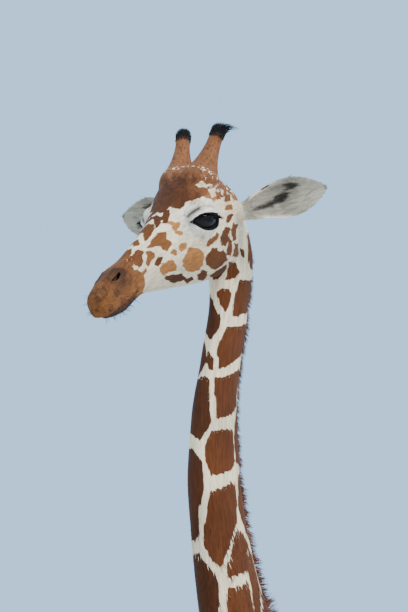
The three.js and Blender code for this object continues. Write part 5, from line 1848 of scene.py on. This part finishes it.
def coat_regions():
    """Where the tufts of each coat piece grow: density over the skin, length, width, lift and a seed."""
    looks, data = coat(), skin_data()
    points, _, normals = skin_form()
    part, z = data["part"], points[:, 2]
    h = to_head(points)
    left = np.where((part == HEAD_PART) | (part == HORN_PART), h[:, 1], points[:, 0]) > 0
    ones = np.ones(len(points))
    head, neck = (part == HEAD_PART) | (part == HORN_PART), part == NECK_PART
    legs = (part == FORE_PART) | (part == HIND_PART)
    near_eye = np.minimum(*(np.linalg.norm(points - from_head(EYE_AT, side), axis=1) for side in (1, -1)))
    fine = step(0.5, 0.62, h[:, 0]) + step(0.09, 0.05, near_eye)
    head_length = looks.head_hair * (1 - 0.45 * np.clip(fine, 0, 1))
    upper = neck & (z > 3.3)
    neck_length = looks.neck_hair * (0.6 + 0.4 * step(-0.02, -0.25, h[:, 0]))
    body = (neck & (z <= 3.3)) | (part == TRUNK_PART) | (part == TAIL_PART)
    body_length = np.where(part == TAIL_PART, 0.012, looks.body_hair)
    leg_length = looks.leg_hair * step(0.0, 0.5, z) + 0.004
    inside_ear = np.zeros(len(points))
    ear_share = np.zeros(len(points))
    for side in (1, -1):
        root, axes = ear_frame(side)
        mine = (part == EAR_PART) & (left == (side > 0))
        inside_ear += mine * step(0.0, 0.5, normals @ axes[:, 2])
        ear_share += mine * np.clip(((points - root) @ axes)[:, 0] / EAR_LENGTH, 0, 1)
    ear_length = 0.008 + 0.01 * inside_ear * step(0.9, 0.5, ear_share)
    on_head, on_body = 1.5e5 * looks.amount * head, 1.1e4 * looks.amount * body
    on_neck, on_legs = 9e4 * looks.amount * upper, 1.4e4 * looks.amount * legs
    on_ears = 1.5e5 * looks.amount * (part == EAR_PART)
    ear_lift = 0.16 + 0.2 * inside_ear
    yield "coat_head_left", "coat", on_head * left, head_length, ones * 0.0014, ones * 0.16, 41
    yield "coat_head_right", "coat", on_head * ~left, head_length, ones * 0.0014, ones * 0.16, 42
    yield "coat_neck", "coat", on_neck, neck_length, ones * 0.0022, ones * 0.15, 43
    yield "coat_body_left", "coat", on_body * left, body_length, ones * 0.0038, ones * 0.14, 44
    yield "coat_body_right", "coat", on_body * ~left, body_length, ones * 0.0038, ones * 0.14, 45
    yield "coat_legs", "coat", on_legs, leg_length, ones * 0.0026, ones * 0.12, 46
    yield "coat_ears", "ear", on_ears, ear_length, ones * 0.0012, ear_lift, 47


def hoof_places():
    """The node of each claw with its foot's place and size, its side, and whether it is the outer one."""
    for foot, limb in zip(FEET, ("front", "hind")):
        for side, label in ((1, "left"), (-1, "right")):
            for outer, which in ((1, "outer"), (-1, "inner")):
                yield f"hoof_{limb}_{label}_{which}", foot, side, outer


# ---------------------------------------------------------------- floor, air and lights
STUDIO_LIGHTS = [  # name, where from, share of the key's strength, and width in degrees
    ("key_light", (7.0, -1.5, 7.5), 1.0, 22.0),
    ("front_light", (1.0, -9.0, 3.0), 0.22, 50.0),
    ("back_light", (-5.0, 6.0, 5.0), 0.3, 40.0),
]


def place_stage_floor(looks):
    """A pale disc under the feet, slightly uneven in tone."""
    around = np.linspace(0, 2 * np.pi, 128, endpoint=False)
    points = np.vstack([np.stack([30 * np.cos(around), 30 * np.sin(around), 0 * around], 1), [[0, 0, 0.0]]])
    faces = fan_faces(np.arange(128), 128)
    n = Nodes("pale_floor")
    tone = n.ramp(n.noise(n.place(), 1.5, 4.0), 0.3, 0.7, 0.97, 1.02)
    grey = n.new("ShaderNodeCombineColor", {0: tone, 1: tone, 2: tone}).outputs[0]
    colour = n.mix(1.0, rgba(linear(looks.floor)), grey, "MULTIPLY")
    mesh = mesh_of("floor", points, faces)
    mesh.materials.append(n.finish(colour, 0.8))
    floor = bpy.data.objects.new("floor", mesh)
    bpy.context.scene.collection.objects.link(floor)
    return floor


def studio_air(looks):
    world = bpy.data.worlds.new("studio_air")
    world.use_nodes = True
    background = world.node_tree.nodes["Background"]
    background.inputs["Color"].default_value = rgba(linear(looks.air))
    background.inputs["Strength"].default_value = looks.fill
    return world


# ---------------------------------------------------------------- sizes and colours
def colour_property(name, description, default):
    return FloatVectorProperty(
        name=name, description=description, default=default, size=3, min=0, max=1, subtype="COLOR_GAMMA"
    )


def number_property(name, description, default, most, least=0, **more):
    return FloatProperty(name=name, description=description, default=default, min=least, max=most, **more)


def length_property(name, description, default, most):
    return number_property(name, description, default, most, unit="LENGTH", subtype="DISTANCE")


class GiraffeCoat(bpy.types.PropertyGroup):
    """Sizes and colours of the short coat."""

    head_hair: length_property("Head hair", "Length of the hair on the head", 0.009, 0.03)
    neck_hair: length_property("Neck hair", "Length of the hair on the neck", 0.017, 0.05)
    body_hair: length_property("Body hair", "Length of the hair on the trunk", 0.023, 0.06)
    leg_hair: length_property("Leg hair", "Length of the hair on the legs", 0.014, 0.04)
    ragged: length_property("Ragged edge", "How far hair breaks the edge of a mark", 0.012, 0.05)
    amount: number_property("Amount", "Share of the full number of tufts", 1, 1)
    cream: colour_property("Cream", "The lines between the marks", (0.93, 0.83, 0.68))
    face_tan: colour_property("Face tan", "The palest marks of the face", (0.68, 0.44, 0.24))
    face_brown: colour_property("Face brown", "The darker marks of the face", (0.38, 0.21, 0.1))
    neck_brown: colour_property("Neck brown", "The marks of the neck and body", (0.37, 0.195, 0.09))


class GiraffeHair(bpy.types.PropertyGroup):
    """Sizes and colours of the long hair."""

    mane_share: number_property("Mane height", "Height against the usual", 1, 1.2, 0.2)
    mane: colour_property("Mane", "The mane near its roots", (0.48, 0.26, 0.15))
    tassel: colour_property("Tassel", "The tail's brush", (0.1, 0.08, 0.07))
    lash: length_property("Lash", "Length of the upper lashes", 0.017, 0.04)


class GiraffeFeatures(bpy.types.PropertyGroup):
    """Colours of the eyes, bare skin and hooves."""

    iris: colour_property("Iris", "The brown of the eye", (0.12, 0.07, 0.05))
    rim: colour_property("Rim", "Bare skin of the lids, lips and nostrils", (0.07, 0.055, 0.05))
    hoof: colour_property("Hoof", "Horn of the claws", (0.36, 0.31, 0.26))


class GiraffeStage(bpy.types.PropertyGroup):
    """The floor, the light and the air round it."""

    floor: colour_property("Floor", "The floor's colour", (0.86, 0.85, 0.83))
    air: colour_property("Air", "The light all round", (0.66, 0.82, 0.96))
    key: number_property("Key", "Strength of the main light", 3.6, 20)
    fill: number_property("Fill", "Strength of the light all round", 1.55, 5)


def coat():
    return bpy.context.scene.giraffe_coat


def hair():
    return bpy.context.scene.giraffe_hair


def features():
    return bpy.context.scene.giraffe_features


# ---------------------------------------------------------------- operators
OTHERS = ("eye", "hoof", "mane", "ossicone_tuft", "tail_tassel")
REPLACED_BY_SKIN = [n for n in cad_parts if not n.startswith(OTHERS)]


class MakeSkin(bpy.types.Operator):
    """One seamless skin from nose to tail, with its marks as data on its points"""

    bl_idname = "giraffe.skin"
    bl_label = "Skin"

    def execute(self, context):
        points, faces, _ = skin_form()
        data = skin_data()
        kept = {key: data[key] for key in (*MARKING_KEYS, "comb")}
        piece = place_piece("skin", "coat", points, faces, coat_material(False), kept)
        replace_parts(piece, *REPLACED_BY_SKIN)
        return {"FINISHED"}


class MakeCoat(bpy.types.Operator):
    """Short tufts that lie along the skin, in pieces by region"""

    bl_idname = "giraffe.coat"
    bl_label = "Coat"

    def execute(self, context):
        for name, slot, *settings in coat_regions():
            label, points, faces, data, uv = tufts(name, *settings)
            place_piece(label, slot, points, faces, coat_material(True), data, uv, smooth=False)
        return {"FINISHED"}


class MakeEyes(bpy.types.Operator):
    """Glossy dark eyeballs behind the lids"""

    bl_idname = "giraffe.eyes"
    bl_label = "Eyes"

    def execute(self, context):
        for side, label in ((1, "left"), (-1, "right")):
            points, faces, data = eyeball(side)
            piece = place_piece(f"eyeball_{label}", "eye", points, faces, eye_material(), data)
            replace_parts(piece, f"eye_{label}")
        return {"FINISHED"}


class MakeLashes(bpy.types.Operator):
    """Lashes on the lids and stiff hairs on the lips"""

    bl_idname = "giraffe.lashes"
    bl_label = "Lashes and whiskers"

    def execute(self, context):
        (points, faces, data), uv = lashes_and_whiskers()
        place_piece("lashes", "black_hair", points, faces, long_hair_material("lash_hair"), data, uv)
        return {"FINISHED"}


class MakeMane(bpy.types.Operator):
    """The upright mane from the poll to the withers"""

    bl_idname = "giraffe.mane"
    bl_label = "Mane"

    def execute(self, context):
        (points, faces, data), uv = mane_locks()
        piece = place_piece("mane_hair", "mane", points, faces, long_hair_material("mane_hair"), data, uv)
        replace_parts(piece, "mane")
        return {"FINISHED"}


class MakeTassel(bpy.types.Operator):
    """The long black brush of the tail"""

    bl_idname = "giraffe.tassel"
    bl_label = "Tail tassel"

    def execute(self, context):
        (points, faces, data), uv = tassel_locks()
        material = long_hair_material("tassel_hair")
        piece = place_piece("tassel_hair", "black_hair", points, faces, material, data, uv)
        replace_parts(piece, "tail_tassel")
        return {"FINISHED"}


class MakeHornTufts(bpy.types.Operator):
    """Black tufts round the tips of the ossicones"""

    bl_idname = "giraffe.horn_tufts"
    bl_label = "Ossicone tufts"

    def execute(self, context):
        for side, label in ((1, "left"), (-1, "right")):
            (points, faces, data), uv = horn_tuft(side)
            material = long_hair_material("tuft_hair")
            piece = place_piece(f"horn_tuft_{label}", "black_hair", points, faces, material, data, uv)
            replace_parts(piece, f"ossicone_tuft_{label}")
        return {"FINISHED"}


class MakeHooves(bpy.types.Operator):
    """Two claws to each foot, with growth rings"""

    bl_idname = "giraffe.hooves"
    bl_label = "Hooves"

    def execute(self, context):
        for node, foot, side, outer in hoof_places():
            points, faces, data = claw(foot, side, outer)
            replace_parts(place_piece("claw_" + node[5:], "hoof", points, faces, hoof_material(), data), node)
        return {"FINISHED"}


class MakeStage(bpy.types.Operator):
    """The camera, a pale floor and soft light"""

    bl_idname = "giraffe.stage"
    bl_label = "Stage"

    def execute(self, context):
        looks = context.scene.giraffe_stage
        camera = bpy.data.objects.new("camera", bpy.data.cameras.new("camera"))
        context.scene.collection.objects.link(camera)
        turn = camera_axes()
        camera.matrix_world = Matrix.Translation(camera_place() + SHIFT) @ Matrix(turn.tolist()).to_4x4()
        camera.data.sensor_width = 36
        camera.data.sensor_fit = "AUTO"
        camera.data.lens = 36 * CAMERA_DISTANCE * PIXELS_PER_METRE / FRAME_HEIGHT
        camera.data.clip_end = 200
        context.scene.camera = camera
        floor = place_stage_floor(looks)
        context.scene.world = studio_air(looks)
        for name, towards, strength, width in STUDIO_LIGHTS:
            light = bpy.data.lights.new(name, "SUN")
            light.angle = np.radians(width)
            light.energy = strength * looks.key
            holder = bpy.data.objects.new(name, light)
            context.scene.collection.objects.link(holder)
            holder.location = towards
            holder.rotation_mode = "QUATERNION"
            holder.rotation_quaternion = Vector(towards).to_track_quat("Z", "Y")
        return {"FINISHED"}


OPERATORS = (
    MakeStage, MakeSkin, MakeCoat, MakeEyes, MakeLashes, MakeMane, MakeTassel, MakeHornTufts, MakeHooves,
)  # fmt: skip
GROUPS = {
    "giraffe_coat": GiraffeCoat, "giraffe_hair": GiraffeHair,
    "giraffe_features": GiraffeFeatures, "giraffe_stage": GiraffeStage,
}  # fmt: skip


class GiraffePanel(bpy.types.Panel):
    """Lists the giraffe's sizes, colours and pieces"""

    bl_idname = "VIEW3D_PT_giraffe"
    bl_label = "Giraffe"
    bl_space_type = "VIEW_3D"
    bl_region_type = "UI"
    bl_category = "Giraffe"

    def draw(self, context):
        for group, kind in GROUPS.items():
            box = self.layout.box()
            for key in kind.__annotations__:
                box.prop(getattr(context.scene, group), key)
        for operator in OPERATORS:
            self.layout.operator(operator.bl_idname)


def register():
    for kind in (*GROUPS.values(), *OPERATORS, GiraffePanel):
        bpy.utils.register_class(kind)
    for name, kind in GROUPS.items():
        setattr(bpy.types.Scene, name, PointerProperty(type=kind))


def unregister():
    for name in GROUPS:
        delattr(bpy.types.Scene, name)
    for kind in (GiraffePanel, *OPERATORS[::-1], *list(GROUPS.values())[::-1]):
        bpy.utils.unregister_class(kind)


def main():
    register()
    for operator in OPERATORS:
        group, name = operator.bl_idname.split(".")
        getattr(getattr(bpy.ops, group), name)()


if __name__ == "__main__":
    main()
